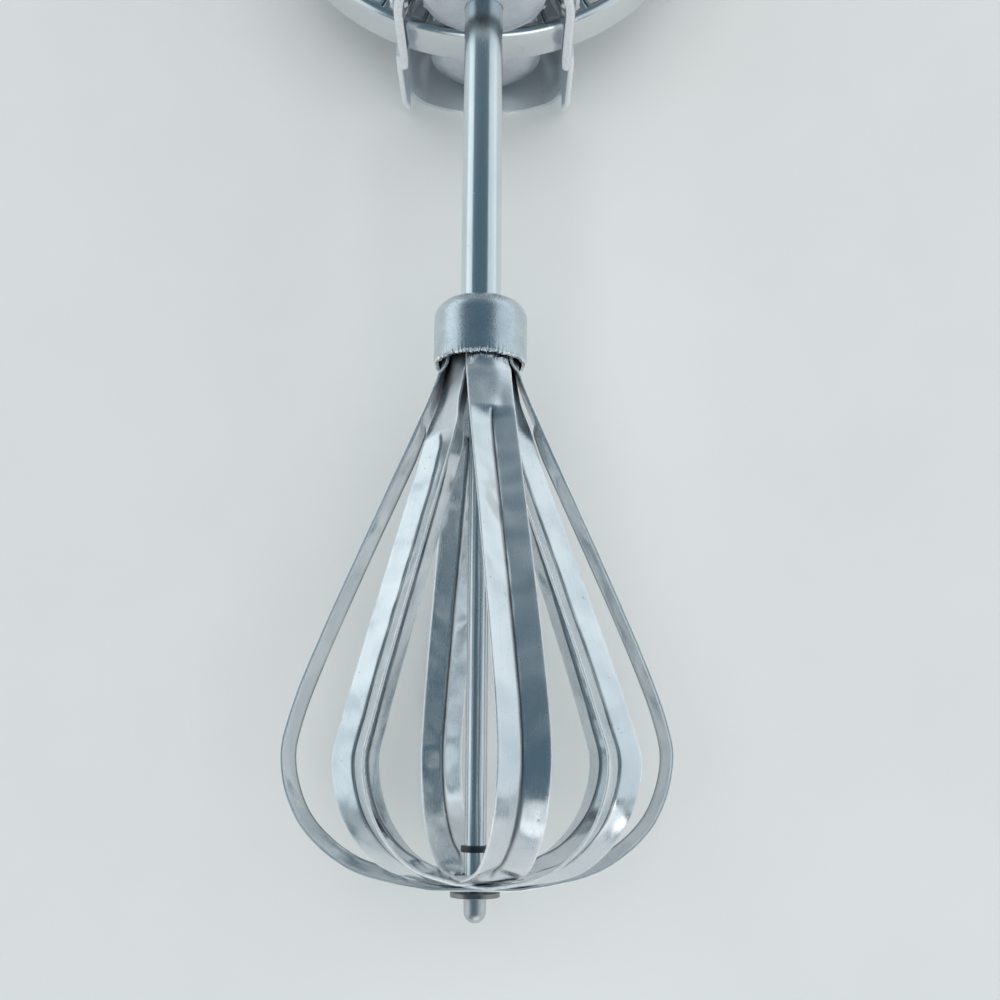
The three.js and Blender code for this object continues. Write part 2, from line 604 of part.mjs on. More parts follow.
// The wheel's pan about its own axis, with z counted from the middle of its face's front
function addWheel(wheel) {
  const inner = WHEEL_RADIUS - WHEEL_SHEET;
  const hole = AXLE_RADIUS + SEAT_GAP;
  const bead = (side) => [-1, -0.4, 0.4, 1].map((share) =>
    [beadRadius + share * BEAD_HALF_WIDTH, side + (Math.abs(share) < 1 ? BEAD_HEIGHT : 0)]);
  const shoulderR = WHEEL_RADIUS - WHEEL_SHOULDER;
  const profile = [
    [hole, plateRearZ],
    ...bead(plateRearZ),
    ...arc(shoulderR, faceZ - WHEEL_SHOULDER, WHEEL_SHOULDER - WHEEL_SHEET, 90, 0, 2),
    [inner, skirtZ],
    [WHEEL_RADIUS, skirtZ],
    ...arc(shoulderR, faceZ - WHEEL_SHOULDER, WHEEL_SHOULDER, 0, 90, 3),
    ...bead(faceZ).reverse(),
    [hole, faceZ],
    [hole, plateRearZ],
  ];
  const middle = (slotInner + slotOuter) / 2;
  const halfLength = (slotOuter - slotInner) / 2;
  const slots = Array.from({ length: wheelTeeth }, (_, i) =>
    new THREE.BoxGeometry(halfLength * 2, SLOT_WIDTH, WHEEL_SHEET + OVERRUN)
      .translate(middle, 0, faceZ - WHEEL_SHEET / 2)
      .rotateZ((2 * Math.PI * i) / wheelTeeth - Math.PI / 2));
  const rivetHoles = wheelRivetPlaces().map(([x, y]) =>
    barZ(WHEEL_RIVET_RADIUS + SEAT_GAP, plateRearZ - OVERRUN, faceZ + OVERRUN, SMALL_ROUND).translate(x, y, 0));
  part('drive_wheel', cut(turnedZ(profile, wheelTeeth), ...slots, ...rivetHoles), nickel(), wheel);
}

function wheelRivetPlaces() {
  return Array.from({ length: WHEEL_RIVETS }, (_, i) => {
    const angle = (2 * Math.PI * i) / WHEEL_RIVETS + Math.PI / 2;
    return [WHEEL_RIVET_CIRCLE * Math.cos(angle), WHEEL_RIVET_CIRCLE * Math.sin(angle)];
  });
}

// The axle, and the flanged hubs that are riveted to the wheel's two sides
function addAxle(wheel) {
  const hole = AXLE_RADIUS + SEAT_GAP;
  const frontBush = COLLAR_FRONT - SHEET - BUSH_FLANGE;
  const rearBush = rearFaceZ + SHEET + BUSH_FLANGE;
  const holes = (low, high) => wheelRivetPlaces().map(([x, y]) =>
    barZ(WHEEL_RIVET_RADIUS + SEAT_GAP, low - OVERRUN, high + OVERRUN, SMALL_ROUND).translate(x, y, 0));
  part('wheel_hub_front', cut(turnedZ([
    [hole, faceZ],
    [HUB_FLANGE_RADIUS, faceZ],
    [HUB_FLANGE_RADIUS, faceZ + HUB_FLANGE],
    [HUB_RADIUS, faceZ + HUB_FLANGE],
    [HUB_RADIUS, frontBush - SIDE_GAP],
    [hole, frontBush - SIDE_GAP],
    [hole, faceZ],
  ]), ...holes(faceZ, faceZ + HUB_FLANGE)), satinNickel(), wheel);
  part('wheel_hub_rear', cut(turnedZ([
    [hole, rearBush + SIDE_GAP],
    [HUB_RADIUS, rearBush + SIDE_GAP],
    [HUB_RADIUS, plateRearZ - HUB_FLANGE],
    [HUB_FLANGE_RADIUS, plateRearZ - HUB_FLANGE],
    [HUB_FLANGE_RADIUS, plateRearZ],
    [hole, plateRearZ],
    [hole, rearBush + SIDE_GAP],
  ]), ...holes(plateRearZ - HUB_FLANGE, plateRearZ)), satinNickel(), wheel);
  wheelRivetPlaces().forEach(([x, y], i) => {
    part(`wheel_rivet_${i + 1}`, turnedZ(rivetProfile(WHEEL_RIVET_RADIUS, WHEEL_RIVET_HEAD_RADIUS, WHEEL_RIVET_HEAD,
      plateRearZ - HUB_FLANGE, faceZ + HUB_FLANGE), SMALL_ROUND).translate(x, y, 0), nickel(), wheel);
  });
  const headZ = crankZ + CRANK_THICKNESS;
  part('wheel_axle', turnedZ([
    [0, rearFaceZ + SEAT_GAP],
    [AXLE_RADIUS, rearFaceZ + SEAT_GAP],
    [AXLE_RADIUS, headZ],
    [AXLE_HEAD_RADIUS, headZ],
    [AXLE_HEAD_RADIUS * 0.8, headZ + AXLE_HEAD * 0.7],
    [0, headZ + AXLE_HEAD],
  ]), satinNickel(), wheel);
}

// The crank arm: an eye at either end and a waisted bar between them
function addCrank(wheel) {
  const crank = new THREE.Group();
  crank.rotation.z = THREE.MathUtils.degToRad(CRANK_ANGLE);
  wheel.add(crank);
  const waist = CRANK_END_RADIUS * CRANK_WAIST_SHARE;
  const arm = new THREE.Shape();
  arm.absarc(0, 0, CRANK_HUB_RADIUS, Math.PI / 4, -Math.PI / 4, false);
  arm.quadraticCurveTo(CRANK_HUB_RADIUS * 1.4, -waist, CRANK_LENGTH / 2, -waist);
  arm.lineTo(CRANK_LENGTH - CRANK_END_RADIUS, -waist);
  arm.absarc(CRANK_LENGTH, 0, CRANK_END_RADIUS, -Math.PI * 0.7, Math.PI * 0.7, false);
  arm.lineTo(CRANK_LENGTH / 2, waist);
  arm.quadraticCurveTo(CRANK_HUB_RADIUS * 1.4, waist, CRANK_HUB_RADIUS * Math.SQRT1_2,
    CRANK_HUB_RADIUS * Math.SQRT1_2);
  part('crank_arm', cut(plateFlat(arm, crankZ, CRANK_THICKNESS),
    barZ(AXLE_RADIUS + SEAT_GAP, crankZ - OVERRUN, crankZ + CRANK_THICKNESS + OVERRUN, ROUND),
    barZ(KNOB_PIN_RADIUS + SEAT_GAP, crankZ - OVERRUN, crankZ + CRANK_THICKNESS + OVERRUN)
      .translate(CRANK_LENGTH, 0, 0)), nickel(), crank);
  const knobLow = crankZ + CRANK_THICKNESS + SIDE_GAP;
  const knobTop = knobLow + KNOB_LENGTH;
  const pin = part('knob_pin', turnedZ([
    [0, crankZ - KNOB_PIN_HEAD],
    [KNOB_PIN_HEAD_RADIUS, crankZ - KNOB_PIN_HEAD],
    [KNOB_PIN_HEAD_RADIUS, crankZ],
    [KNOB_PIN_RADIUS, crankZ],
    [KNOB_PIN_RADIUS, knobTop + SIDE_GAP],
    [KNOB_PIN_HEAD_RADIUS, knobTop + SIDE_GAP],
    [KNOB_PIN_HEAD_RADIUS * 0.7, knobTop + SIDE_GAP + KNOB_CAP * 0.7],
    [0, knobTop + SIDE_GAP + KNOB_CAP],
  ], SMALL_ROUND), satinNickel(), crank);
  pin.position.x = CRANK_LENGTH;
  const bore = KNOB_PIN_RADIUS + RUN_GAP;
  const knobShares = [[0, 0.92], [0.05, 1], [0.12, 0.96], [0.22, 1.15], [0.42, 1.5], [0.62, 1.59], [0.8, 1.48],
    [0.93, 1.15], [1, 0.8]];
  const knob = part('crank_knob', turnedZ([
    ...knobShares.map(([up, out]) =>
      [Math.min(out * KNOB_FOOT_RADIUS, KNOB_RADIUS), knobLow + up * KNOB_LENGTH]),
    [bore, knobTop],
    [bore, knobLow],
    [knobShares[0][1] * KNOB_FOOT_RADIUS, knobLow],
  ], ROUND), lacquer(), crank);
  knob.position.x = CRANK_LENGTH;
}

// Section of a frame half at one height, seen along the shaft: a top with two legs. The top goes from a rounded
// arch to a flat with rounded corners as square goes from 0 to 1.
// side is 1 for the front half and -1 for the rear half, whose face looks the other way.
function frameRing(side, y, { half, arch, corner, face, legEnd, square }) {
  const middle = ARCH_POINTS / 2;
  const curve = (inset) => {
    const top = Array.from({ length: ARCH_POINTS + 1 }, (_, i) => {
      const way = Math.sign(i - middle);
      const round = (Math.PI * i) / ARCH_POINTS;
      const power = 2 / ARCH_SQUARENESS;
      const archX = -(half - inset) * Math.sign(Math.cos(round)) * Math.abs(Math.cos(round)) ** power;
      const archZ = face - arch + (arch - inset) * Math.sin(round) ** power;
      const bent = (Math.PI / 2) * Math.min((middle - Math.abs(i - middle)) / (middle - 1), 1);
      const flatX = way * (half - corner + (corner - inset) * Math.cos(bent));
      const flatZ = face - corner + (corner - inset) * Math.sin(bent);
      return [blend(archX, flatX, square), blend(archZ, flatZ, square)];
    });
    return [[inset - half, legEnd], ...top, [half - inset, legEnd]];
  };
  return [...curve(0), ...curve(SHEET).reverse()].map(([x, z]) => new THREE.Vector3(x, y, side * z));
}

// Both halves run from the collar, with full cheeks, through a flanged strap to the flat tang in the handle
function frameHalf(side, collar, strapFace) {
  const cheekEnd = collarY + COLLAR_LENGTH;
  const strapY = cheekEnd + CHEEK_TAPER;
  const steps = FRAME_STATIONS / 2;
  const heights = [collarY];
  for (let i = 0; i <= steps; i += 1) heights.push(blend(cheekEnd, strapY, i / steps));
  for (let i = 0; i <= steps; i += 1) heights.push(blend(strapEndY, tangY, i / steps));
  heights.push(tangY + TANG_LENGTH);
  return skin(heights.map((y) => {
    const taper = smooth(y, cheekEnd, strapY);
    const square = smooth(y, cheekEnd - CHEEK_TAPER / 4, cheekEnd + CHEEK_TAPER / 4);
    const bend = smooth(y, strapEndY, tangY);
    const face = blend(strapFace, side * handleZ + TANG_GAP / 2 + SHEET, bend);
    const flange = blend(STRAP_FLANGE, TANG_CORNER + SEAT_GAP, bend);
    return frameRing(side, y, {
      half: blend(blend(collar.half, collar.strapHalf, taper), TANG_HALF_WIDTH, bend),
      arch: ARCH_HEIGHT,
      corner: blend(blend(COLLAR_CORNER, STRAP_CORNER, taper), TANG_CORNER, bend),
      face,
      legEnd: blend(collar.legEnd, face - flange, taper),
      square: blend(collar.square, 1, square),
    });
  }));
}

// The room that the turning wheel needs in the cheeks
function wheelRoom() {
  return barZ(WHEEL_RADIUS + WHEEL_ROOM, skirtZ - WHEEL_ROOM, faceZ + WHEEL_ROOM, ROUND * 2).translate(0, wheelY, 0);
}

// Cross holes for the rivets that join the cheeks
function cheekHole(radius) {
  const y = collarY + FRAME_RIVET_RISE;
  return barY(radius, -COLLAR_HALF_WIDTH - OVERRUN, COLLAR_HALF_WIDTH + OVERRUN)
    .rotateZ(Math.PI / 2)
    .translate(0, y, -FRAME_RIVET_DEPTH);
}

// The hole through both tangs for the ferrule's pin
const ferrulePinY = ferruleY + FERRULE_LENGTH * 0.6;
const tangHole = () => barZ(FERRULE_PIN_RADIUS + SEAT_GAP * 2, handleZ - OVERRUN, handleZ + OVERRUN)
  .translate(0, ferrulePinY, 0);

function bracketRivetPlaces() {
  const y = bracketY + BRACKET_SHEET + BRACKET_FOOT * 0.6;
  return [-1, 1].map((share) => [share * BRACKET_RIVET_SPREAD, y]);
}

// Holes through the strap for the axle's bush and the bracket's rivets
function strapHoles(low, high) {
  return [
    barZ(AXLE_RADIUS + RUN_GAP + BUSH_WALL + SEAT_GAP, low, high, ROUND).translate(0, wheelY, 0),
    ...bracketRivetPlaces().map(([x, y]) =>
      barZ(BRACKET_RIVET_RADIUS + SEAT_GAP, low, high, SMALL_ROUND).translate(x, y, 0)),
  ];
}

function addFrame() {
  const rearHalf = COLLAR_HALF_WIDTH - SHEET - SEAT_GAP;
  const front = frameHalf(1, { half: COLLAR_HALF_WIDTH, strapHalf: STRAP_HALF_WIDTH, legEnd: -FRONT_LEG_DEPTH,
    square: 0 }, COLLAR_FRONT);
  part('front_frame', cut(front, wheelRoom(), cheekHole(FRAME_RIVET_RADIUS + SEAT_GAP), tangHole(),
    ...strapHoles(COLLAR_FRONT - SHEET - OVERRUN, COLLAR_FRONT + OVERRUN)), nickel());
  const rear = frameHalf(-1, { half: rearHalf, strapHalf: STRAP_HALF_WIDTH - SHEET - SEAT_GAP,
    legEnd: REAR_LEG_DEPTH, square: 1 }, COLLAR_REAR);
  part('rear_frame', cut(rear, tongueCutter(rearHalf - SHEET), wheelRoom(),
    cheekHole(FRAME_RIVET_RADIUS + SEAT_GAP), tangHole(),
    ...strapHoles(rearFaceZ - OVERRUN, rearFaceZ + SHEET + OVERRUN)), nickel());
  for (const [name, turn] of [['frame_rivet_right', -Math.PI / 2], ['frame_rivet_left', Math.PI / 2]]) {
    const rivet = part(name, turnedY(rivetProfile(FRAME_RIVET_RADIUS, FRAME_RIVET_HEAD_RADIUS, FRAME_RIVET_HEAD,
      rearHalf - SHEET, COLLAR_HALF_WIDTH), SMALL_ROUND).rotateZ(turn), nickel());
    rivet.position.set(0, collarY + FRAME_RIVET_RISE, -FRAME_RIVET_DEPTH);
  }
}

// What is taken off the rear wall's lower edge, so that it ends in a tongue clear of the cheeks
function tongueCutter(half) {
  const shape = new THREE.Shape();
  shape.moveTo(-half, collarY - OVERRUN);
  shape.lineTo(-half, collarY + TONGUE_RELIEF);
  shape.quadraticCurveTo(-half * 0.55, collarY, 0, collarY);
  shape.quadraticCurveTo(half * 0.55, collarY, half, collarY + TONGUE_RELIEF);
  shape.lineTo(half, collarY - OVERRUN);
  shape.closePath();
  return plateFlat(shape, rearFaceZ - OVERRUN, COLLAR_CORNER + OVERRUN);
}

// A bent bracket: a plate across the shaft, and a foot that is riveted to the strap.
// side is 1 for the front strap and -1 for the rear strap; centreZ is the hole that it holds.
function addBracket(side, name, face, centreZ, holeRadius) {
  const outer = face - side * (SHEET + SEAT_GAP);
  const depth = Math.abs(outer - centreZ) + BRACKET_HALF_WIDTH;
  const plate = new THREE.BoxGeometry(BRACKET_HALF_WIDTH * 2, BRACKET_SHEET, depth)
    .translate(0, bracketY + BRACKET_SHEET / 2, outer - (side * depth) / 2);
  const foot = new THREE.BoxGeometry(BRACKET_HALF_WIDTH * 2, BRACKET_FOOT, BRACKET_SHEET)
    .translate(0, bracketY + BRACKET_SHEET / 2 + BRACKET_FOOT / 2, outer - (side * BRACKET_SHEET) / 2);
  const hole = barY(holeRadius, bracketY - OVERRUN, bracketY + BRACKET_SHEET + OVERRUN).translate(0, 0, centreZ);
  const rivetHoles = bracketRivetPlaces().map(([x, y]) =>
    barZ(BRACKET_RIVET_RADIUS + SEAT_GAP, outer - OVERRUN, outer + OVERRUN, SMALL_ROUND).translate(x, y, 0));
  part(`${name}_bracket`, cut(join(plate, foot), hole, ...rivetHoles), satinNickel());
  const inner = Math.abs(outer) - BRACKET_SHEET;
  const outside = Math.abs(face) - (side < 0 ? SEAT_GAP : 0);
  bracketRivetPlaces().forEach(([x, y], i) => {
    const profile = [
      [0, inner - BRACKET_RIVET_HEAD],
      [BRACKET_RIVET_HEAD_RADIUS * 0.75, inner - BRACKET_RIVET_HEAD * 0.8],
      [BRACKET_RIVET_HEAD_RADIUS, inner],
      [BRACKET_RIVET_RADIUS, inner],
      [BRACKET_RIVET_RADIUS, outside],
      ...(side > 0 ? [[BRACKET_RIVET_HEAD_RADIUS, outside],
        [BRACKET_RIVET_HEAD_RADIUS * 0.75, outside + BRACKET_RIVET_HEAD * 0.8],
        [0, outside + BRACKET_RIVET_HEAD]] : [[0, outside]]),
    ];
    const rivet = turnedZ(profile, SMALL_ROUND);
    part(`${name}_bracket_rivet_${i + 1}`, (side < 0 ? rivet.rotateY(Math.PI) : rivet).translate(x, y, 0), nickel());
  });
}

// Bushes that the axle turns in, one pressed into each strap
function addBushes() {
  const body = AXLE_RADIUS + RUN_GAP + BUSH_WALL;
  const shapes = [
    ['axle_bush_front', COLLAR_FRONT - SHEET - BUSH_FLANGE, COLLAR_FRONT + BUSH_FLANGE, COLLAR_FRONT + SEAT_GAP],
    ['axle_bush_rear', rearFaceZ + SEAT_GAP, rearFaceZ + SHEET + BUSH_FLANGE, rearFaceZ + SHEET + SEAT_GAP],
  ];
  for (const [name, low, high, flangeLow] of shapes) {
    const bush = part(name, turnedZ([
      [boreRadius, low],
      [body, low],
      [body, flangeLow],
      [BUSH_FLANGE_RADIUS, flangeLow],
      [BUSH_FLANGE_RADIUS, high],
      [boreRadius, high],
      [boreRadius, low],
    ]), satinNickel());
    bush.position.y = wheelY;
  }
}

// The turned wooden handle, its ferrule and the pin that holds them on the tang
function addHandle() {
  const handle = new THREE.Group();
  handle.position.z = handleZ;
  beater.add(handle);
  const tangSlot = () => new THREE.BoxGeometry((TANG_HALF_WIDTH + SIDE_GAP) * 2,
    TANG_LENGTH + SIDE_GAP + OVERRUN, TANG_GAP + (TANG_CORNER + SEAT_GAP + SIDE_GAP) * 2 + SHEET)
    .translate(0, tangY + (TANG_LENGTH + SIDE_GAP - OVERRUN) / 2, 0);
  const ferruleTop = ferruleY + FERRULE_LENGTH;
  const slope = (y) => blend(FERRULE_TOP_RADIUS, FERRULE_RADIUS, Math.min((y - ferruleY) / FERRULE_LENGTH, 1));
  const ferrule = turnedY([
    [0, ferruleY],
    [FERRULE_TOP_RADIUS - FERRULE_WALL, ferruleY],
    [FERRULE_TOP_RADIUS, ferruleY + FERRULE_WALL],
    [FERRULE_RADIUS, ferruleTop],
    [FERRULE_RADIUS - FERRULE_WALL, ferruleTop],
    [FERRULE_TOP_RADIUS - FERRULE_WALL, ferruleY + FERRULE_WALL],
    [0, ferruleY + FERRULE_WALL],
  ]);
  const pinReach = slope(ferrulePinY + FERRULE_PIN_HEAD_RADIUS) + SEAT_GAP;
  const pinHole = () => barZ(FERRULE_PIN_RADIUS + SEAT_GAP, -GRIP_RADIUS, GRIP_RADIUS).translate(0, ferrulePinY, 0);
  part('handle_ferrule', cut(ferrule, tangSlot(), pinHole()), nickel(), handle);
  const under = (y) => slope(y) - FERRULE_WALL - SIDE_GAP;
  const gripShares = [[0.2, 0.9], [0.28, 0.98], [0.42, 1], [0.6, 0.93], [0.76, 0.9], [0.88, 0.97], [0.94, 0.93],
    [0.98, 0.8]];
  const grip = turnedY([
    [0, gripY],
    [under(gripY + FERRULE_WALL), gripY + SEAT_GAP],
    [under(ferruleTop), ferruleTop],
    [under(ferruleTop), ferruleTop + SIDE_GAP],
    [GRIP_NECK_RADIUS + FERRULE_WALL, ferruleTop + SIDE_GAP],
    ...gripShares.map(([up, out]) => [GRIP_RADIUS * out, gripY + GRIP_LENGTH * up]).filter(([, y]) =>
      y > ferruleTop + FERRULE_WALL),
    [GRIP_BUTT_RADIUS, gripY + GRIP_LENGTH],
    [0, gripY + GRIP_LENGTH],
  ]);
  part('handle_grip', cut(grip, tangSlot(), pinHole()), lacquer(), handle);
  const pin = part('ferrule_pin', turnedZ(rivetProfile(FERRULE_PIN_RADIUS, FERRULE_PIN_HEAD_RADIUS,
    FERRULE_PIN_HEAD, -pinReach, pinReach), SMALL_ROUND), nickel(), handle);
  pin.position.y = ferrulePinY;
}

addFrame();
addBracket(1, 'rod', COLLAR_FRONT, 0, ROD_RADIUS + SEAT_GAP);
addBracket(-1, 'idler', rearFaceZ, idlerZ, SPINDLE_RADIUS + SEAT_GAP);
addBushes();
addShaft();
addCap();
addWhisk();
addPinion();
addIdler();
const wheel = new THREE.Group();
wheel.position.y = wheelY;
beater.add(wheel);
addWheel(wheel);
addAxle(wheel);
addCrank(wheel);
addHandle();

// The beater stands on its lowest points, with its origin under the middle of its bounding box
beater.updateMatrixWorld(true);
const box = new THREE.Box3().setFromObject(beater);
beater.position.set(-(box.min.x + box.max.x) / 2, -(box.min.y + box.max.y) / 2, -box.min.z);
beater.updateMatrixWorld(true);

export default beater;
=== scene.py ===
# %% [markdown]
# A rotary egg beater, dressed
#
# The packed CAD model gives the exact size and place of every part and knows how the parts turn. This
# script loads it, builds a finer skin for the parts that show, and paints all of it with metal, lacquer and
# wood made from shader nodes. Every skin is a surface worked out with numpy: a profile turned about an
# axis, or a section carried along a path.

# %% Load the model and keep its box
import json
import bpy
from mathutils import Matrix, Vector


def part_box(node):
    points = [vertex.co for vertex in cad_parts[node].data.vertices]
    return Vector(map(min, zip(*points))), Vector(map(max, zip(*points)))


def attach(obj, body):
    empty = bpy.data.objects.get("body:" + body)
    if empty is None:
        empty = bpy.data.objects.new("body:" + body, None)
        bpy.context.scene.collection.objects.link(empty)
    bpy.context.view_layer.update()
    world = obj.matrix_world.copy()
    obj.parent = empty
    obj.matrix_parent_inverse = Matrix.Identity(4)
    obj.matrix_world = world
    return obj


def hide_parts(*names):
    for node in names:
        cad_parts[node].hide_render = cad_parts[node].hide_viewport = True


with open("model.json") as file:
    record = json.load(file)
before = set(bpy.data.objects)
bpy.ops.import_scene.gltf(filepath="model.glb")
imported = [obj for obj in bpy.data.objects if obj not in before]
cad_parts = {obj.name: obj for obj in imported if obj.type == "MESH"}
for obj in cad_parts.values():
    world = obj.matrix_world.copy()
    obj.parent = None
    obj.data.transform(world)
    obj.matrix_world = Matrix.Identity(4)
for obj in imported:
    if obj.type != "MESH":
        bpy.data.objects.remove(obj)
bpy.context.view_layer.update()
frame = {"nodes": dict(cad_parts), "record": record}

import bmesh
import bpy
import numpy as np
from math import cos, pi, radians, sin, sqrt
from mathutils import Matrix, Vector

print("CAD nodes:", len(frame["nodes"]))

# %% [markdown]
# One ruler for the whole beater
#
# The beater is easiest to describe from its own shaft: y is the height above the underside of the blade
# stack, and z is the distance in front of the shaft's axis, both in millimetres. The packed model lies on
# the ground and is measured in metres, so `place` carries points from the shaft's ruler to the model's. The
# two offsets are read from the model's own nodes and not typed in, so that they stay right if the model is
# packed again.

# %% The offsets between the shaft's ruler and the model's
MM = 1000.0
CAP_RIM_Y = 77.8
SHIFT_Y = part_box("blade_cap")[0][1] * MM - CAP_RIM_Y
tube_low, tube_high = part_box("shaft_tube")
SHAFT_LIFT = (tube_low[2] + tube_high[2]) * MM / 2
print("shaft ruler starts at y = %.2f mm, axis lies %.2f mm above the ground" % (SHIFT_Y, SHAFT_LIFT))


def place(points):
    """Points in millimetres on the shaft's ruler, as metres in the model."""
    return (np.asarray(points, float) + (0, SHIFT_Y, SHAFT_LIFT)) / MM


# %% [markdown]
# What each skin belongs to
#
# The record packed with the model says which body a node rides on and which material slot it fills. A skin
# takes its body from the node that it stands for, so it is looked up by the node's name and can't disagree
# with the model.

# %% Body of each node
BODY_OF = {node: body for body, nodes in frame["record"]["behaviour"]["bodies"].items() for node in nodes}

# %% [markdown]
# From a grid of points to a mesh
#
# A surface with two parameters is a table of points with rows and columns. Four neighbours make one face.
# Where the surface closes on itself, as round a tube, the last column joins the first. The faces go into
# the mesh as whole arrays with `foreach_set`, which is far quicker than adding them one at a time. Points
# that fall together, such as those at a pole, are merged, and edges that bend by more than a set angle stay
# crisp in the shading.

# %% Grid to mesh
CRISP_ANGLE = radians(38)
MERGE_DISTANCE = 2e-6


def grid_quads(rows, columns, wrap_rows=False):
    """Corner numbers of each face of a grid whose last column joins the first.

    Row r and column c are point r * columns + c.
    """
    r = np.arange(rows if wrap_rows else rows - 1)[:, None]
    c = np.arange(columns)[None, :]
    r2, c2 = (r + 1) % rows, (c + 1) % columns
    quads = np.stack([r * columns + c, r * columns + c2, r2 * columns + c2, r2 * columns + c], axis=-1)
    return quads.reshape(-1, 4)


def clean(mesh):
    """Merges doubled points, drops faces without area and turns the others outwards."""
    work = bmesh.new()
    work.from_mesh(mesh)
    bmesh.ops.remove_doubles(work, verts=work.verts, dist=MERGE_DISTANCE)
    bmesh.ops.dissolve_degenerate(work, edges=work.edges, dist=MERGE_DISTANCE)
    bmesh.ops.recalc_face_normals(work, faces=work.faces)
    work.to_mesh(mesh)
    work.free()


def finish_piece(node, mesh, material, ending="skin"):
    """Shades a mesh, lets it ride on its node's body and shows it instead of that node."""
    clean(mesh)
    mesh.shade_smooth()
    mesh.set_sharp_from_angle(angle=CRISP_ANGLE)
    mesh.materials.clear()
    mesh.materials.append(material)
    piece = bpy.data.objects.new(node + "_" + ending, mesh)
    bpy.context.scene.collection.objects.link(piece)
    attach(piece, BODY_OF[node])
    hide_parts(node)


def make_piece(node, surface, material, ending="skin"):
    """A finished piece from a surface: points on the shaft's ruler and four-cornered faces."""
    points, quads = surface
    mesh = bpy.data.meshes.new(node + "_" + ending)
    mesh.vertices.add(len(points))
    mesh.vertices.foreach_set("co", place(points).astype(np.float32).ravel())
    mesh.loops.add(quads.size)
    mesh.loops.foreach_set("vertex_index", quads.ravel().astype(np.int32))
    mesh.polygons.add(len(quads))
    mesh.polygons.foreach_set("loop_start", np.arange(0, quads.size, 4, dtype=np.int32))
    mesh.update(calc_edges=True)
    finish_piece(node, mesh, material, ending)


print("a grid of 3 rows and 8 columns has", len(grid_quads(3, 8)), "faces")

# %% [markdown]
# Turned parts
#
# Tubes, pins, bushes and handles are turned parts: a profile of (radius, height) points swept once round an
# axis. Real edges are never quite sharp, and the light that a small round edge catches is what makes metal
# look like metal. `rounded` therefore replaces each corner of a profile by a short curve before it is
# turned.

# %% Profiles with small round edges, and turning them
EDGE_RADIUS = 0.12
EDGE_STEPS = 4
STRAIGHT_COSINE = 0.93    # a profile that bends less than this has no corner to round
CORNER_SHARE = 0.45       # a curve takes at most this share of the sides that it joins


def rounded(profile, radius=EDGE_RADIUS, closed=False):
    """A profile whose corners are cut by quadratic curves that start at most `radius` from the corner.

    A curve point is (1-t)^2 a + 2 t (1-t) corner + t^2 b, with a and b on the two sides that meet there.
    """
    p = np.asarray(profile, float)
    before, after = np.roll(p, 1, axis=0) - p, np.roll(p, -1, axis=0) - p
    reach_a = np.linalg.norm(before, axis=1)[:, None]
    reach_b = np.linalg.norm(after, axis=1)[:, None]
    straight = -(before * after).sum(axis=1) > STRAIGHT_COSINE * (reach_a * reach_b)[:, 0]
    if not closed:
        straight[[0, -1]] = True
    t = np.linspace(0, 1, EDGE_STEPS + 1)[None, :, None]
    a = (p + before * np.minimum(radius / reach_a, CORNER_SHARE))[:, None]
    b = (p + after * np.minimum(radius / reach_b, CORNER_SHARE))[:, None]
    curves = (1 - t) ** 2 * a + 2 * t * (1 - t) * p[:, None] + t ** 2 * b
    curves[straight] = p[straight][:, None]
    kept = np.ones(curves.shape[:2], bool)
    kept[straight, 1:] = False
    return curves[kept]


def turn(profile, axis="y", centre=(0, 0), sides=72, closed=False):
    """Points and faces of a profile turned about an axis.

    About y, a point is (cx + r sin a, h, cz + r cos a). About z, it is (cx + r cos a, cy + r sin a, h).
    """
    p = np.asarray(profile, float)
    a = np.linspace(0, 2 * pi, sides, endpoint=False)
    r, h = p[:, 0][:, None], np.repeat(p[:, 1][:, None], sides, axis=1)
    if axis == "y":
        points = np.stack([centre[0] + r * np.sin(a), h, centre[1] + r * np.cos(a)], axis=-1)
    else:
        points = np.stack([centre[0] + r * np.cos(a), centre[1] + r * np.sin(a), h], axis=-1)
    return points.reshape(-1, 3), grid_quads(len(p), sides, wrap_rows=closed)


def arc(centre_r, centre_h, radius, start, end, steps=8):
    """Points of a circle's arc in a profile, between two angles in degrees."""
    a = np.radians(np.linspace(start, end, steps + 1))
    return [(centre_r + radius * cos(x), centre_h + radius * sin(x)) for x in a]


def sleeve(inner, outer, low, high):
    """Closed profile of a plain tube, ring or washer."""
    return [(inner, low), (outer, low), (outer, high), (inner, high)]


def head(radius, height, low):
    """Upper part of an open profile: a domed head that starts at `low`."""
    dome = [(radius * cos(a), low + height * sin(a)) for a in np.radians([25, 50, 70])]
    return [(radius, low)] + dome + [(0, low + height)]


print("points of a washer's rounded profile:", len(rounded(sleeve(2, 4, 0, 1), closed=True)))

# %% [markdown]
# Cutting holes
#
# A hole is cut with the Boolean modifier and a closed cutter. The modifier is applied at once, because the
# piece's final mesh is what is kept, and the cutter is deleted. Sections carried along a path need their
# two ends closed first: each end is filled by pairing the points of its two halves.

# %% Cutters and cuts
def cylinder(axis, centre, radius, low, high, sides=48):
    """Points and faces of a round cutter, closed by its two middle points."""
    return turn([(0, low), (radius, low), (radius, high), (0, high)], axis, centre, sides)


def capped(grid):
    """Points and faces of a closed section carried along a path, with both ends filled."""
    rows, columns = grid.shape[:2]
    j = np.arange(columns // 2 - 1)
    end = np.stack([j, j + 1, columns - 2 - j, columns - 1 - j], axis=-1)
    faces = np.vstack([grid_quads(rows, columns), end[:, ::-1], end + (rows - 1) * columns])
    return grid.reshape(-1, 3), faces


def solid(points, faces):
    """A closed mesh from points on the shaft's ruler."""
    mesh = bpy.data.meshes.new("solid")
    mesh.from_pydata(place(points).tolist(), [], faces.tolist())
    return mesh


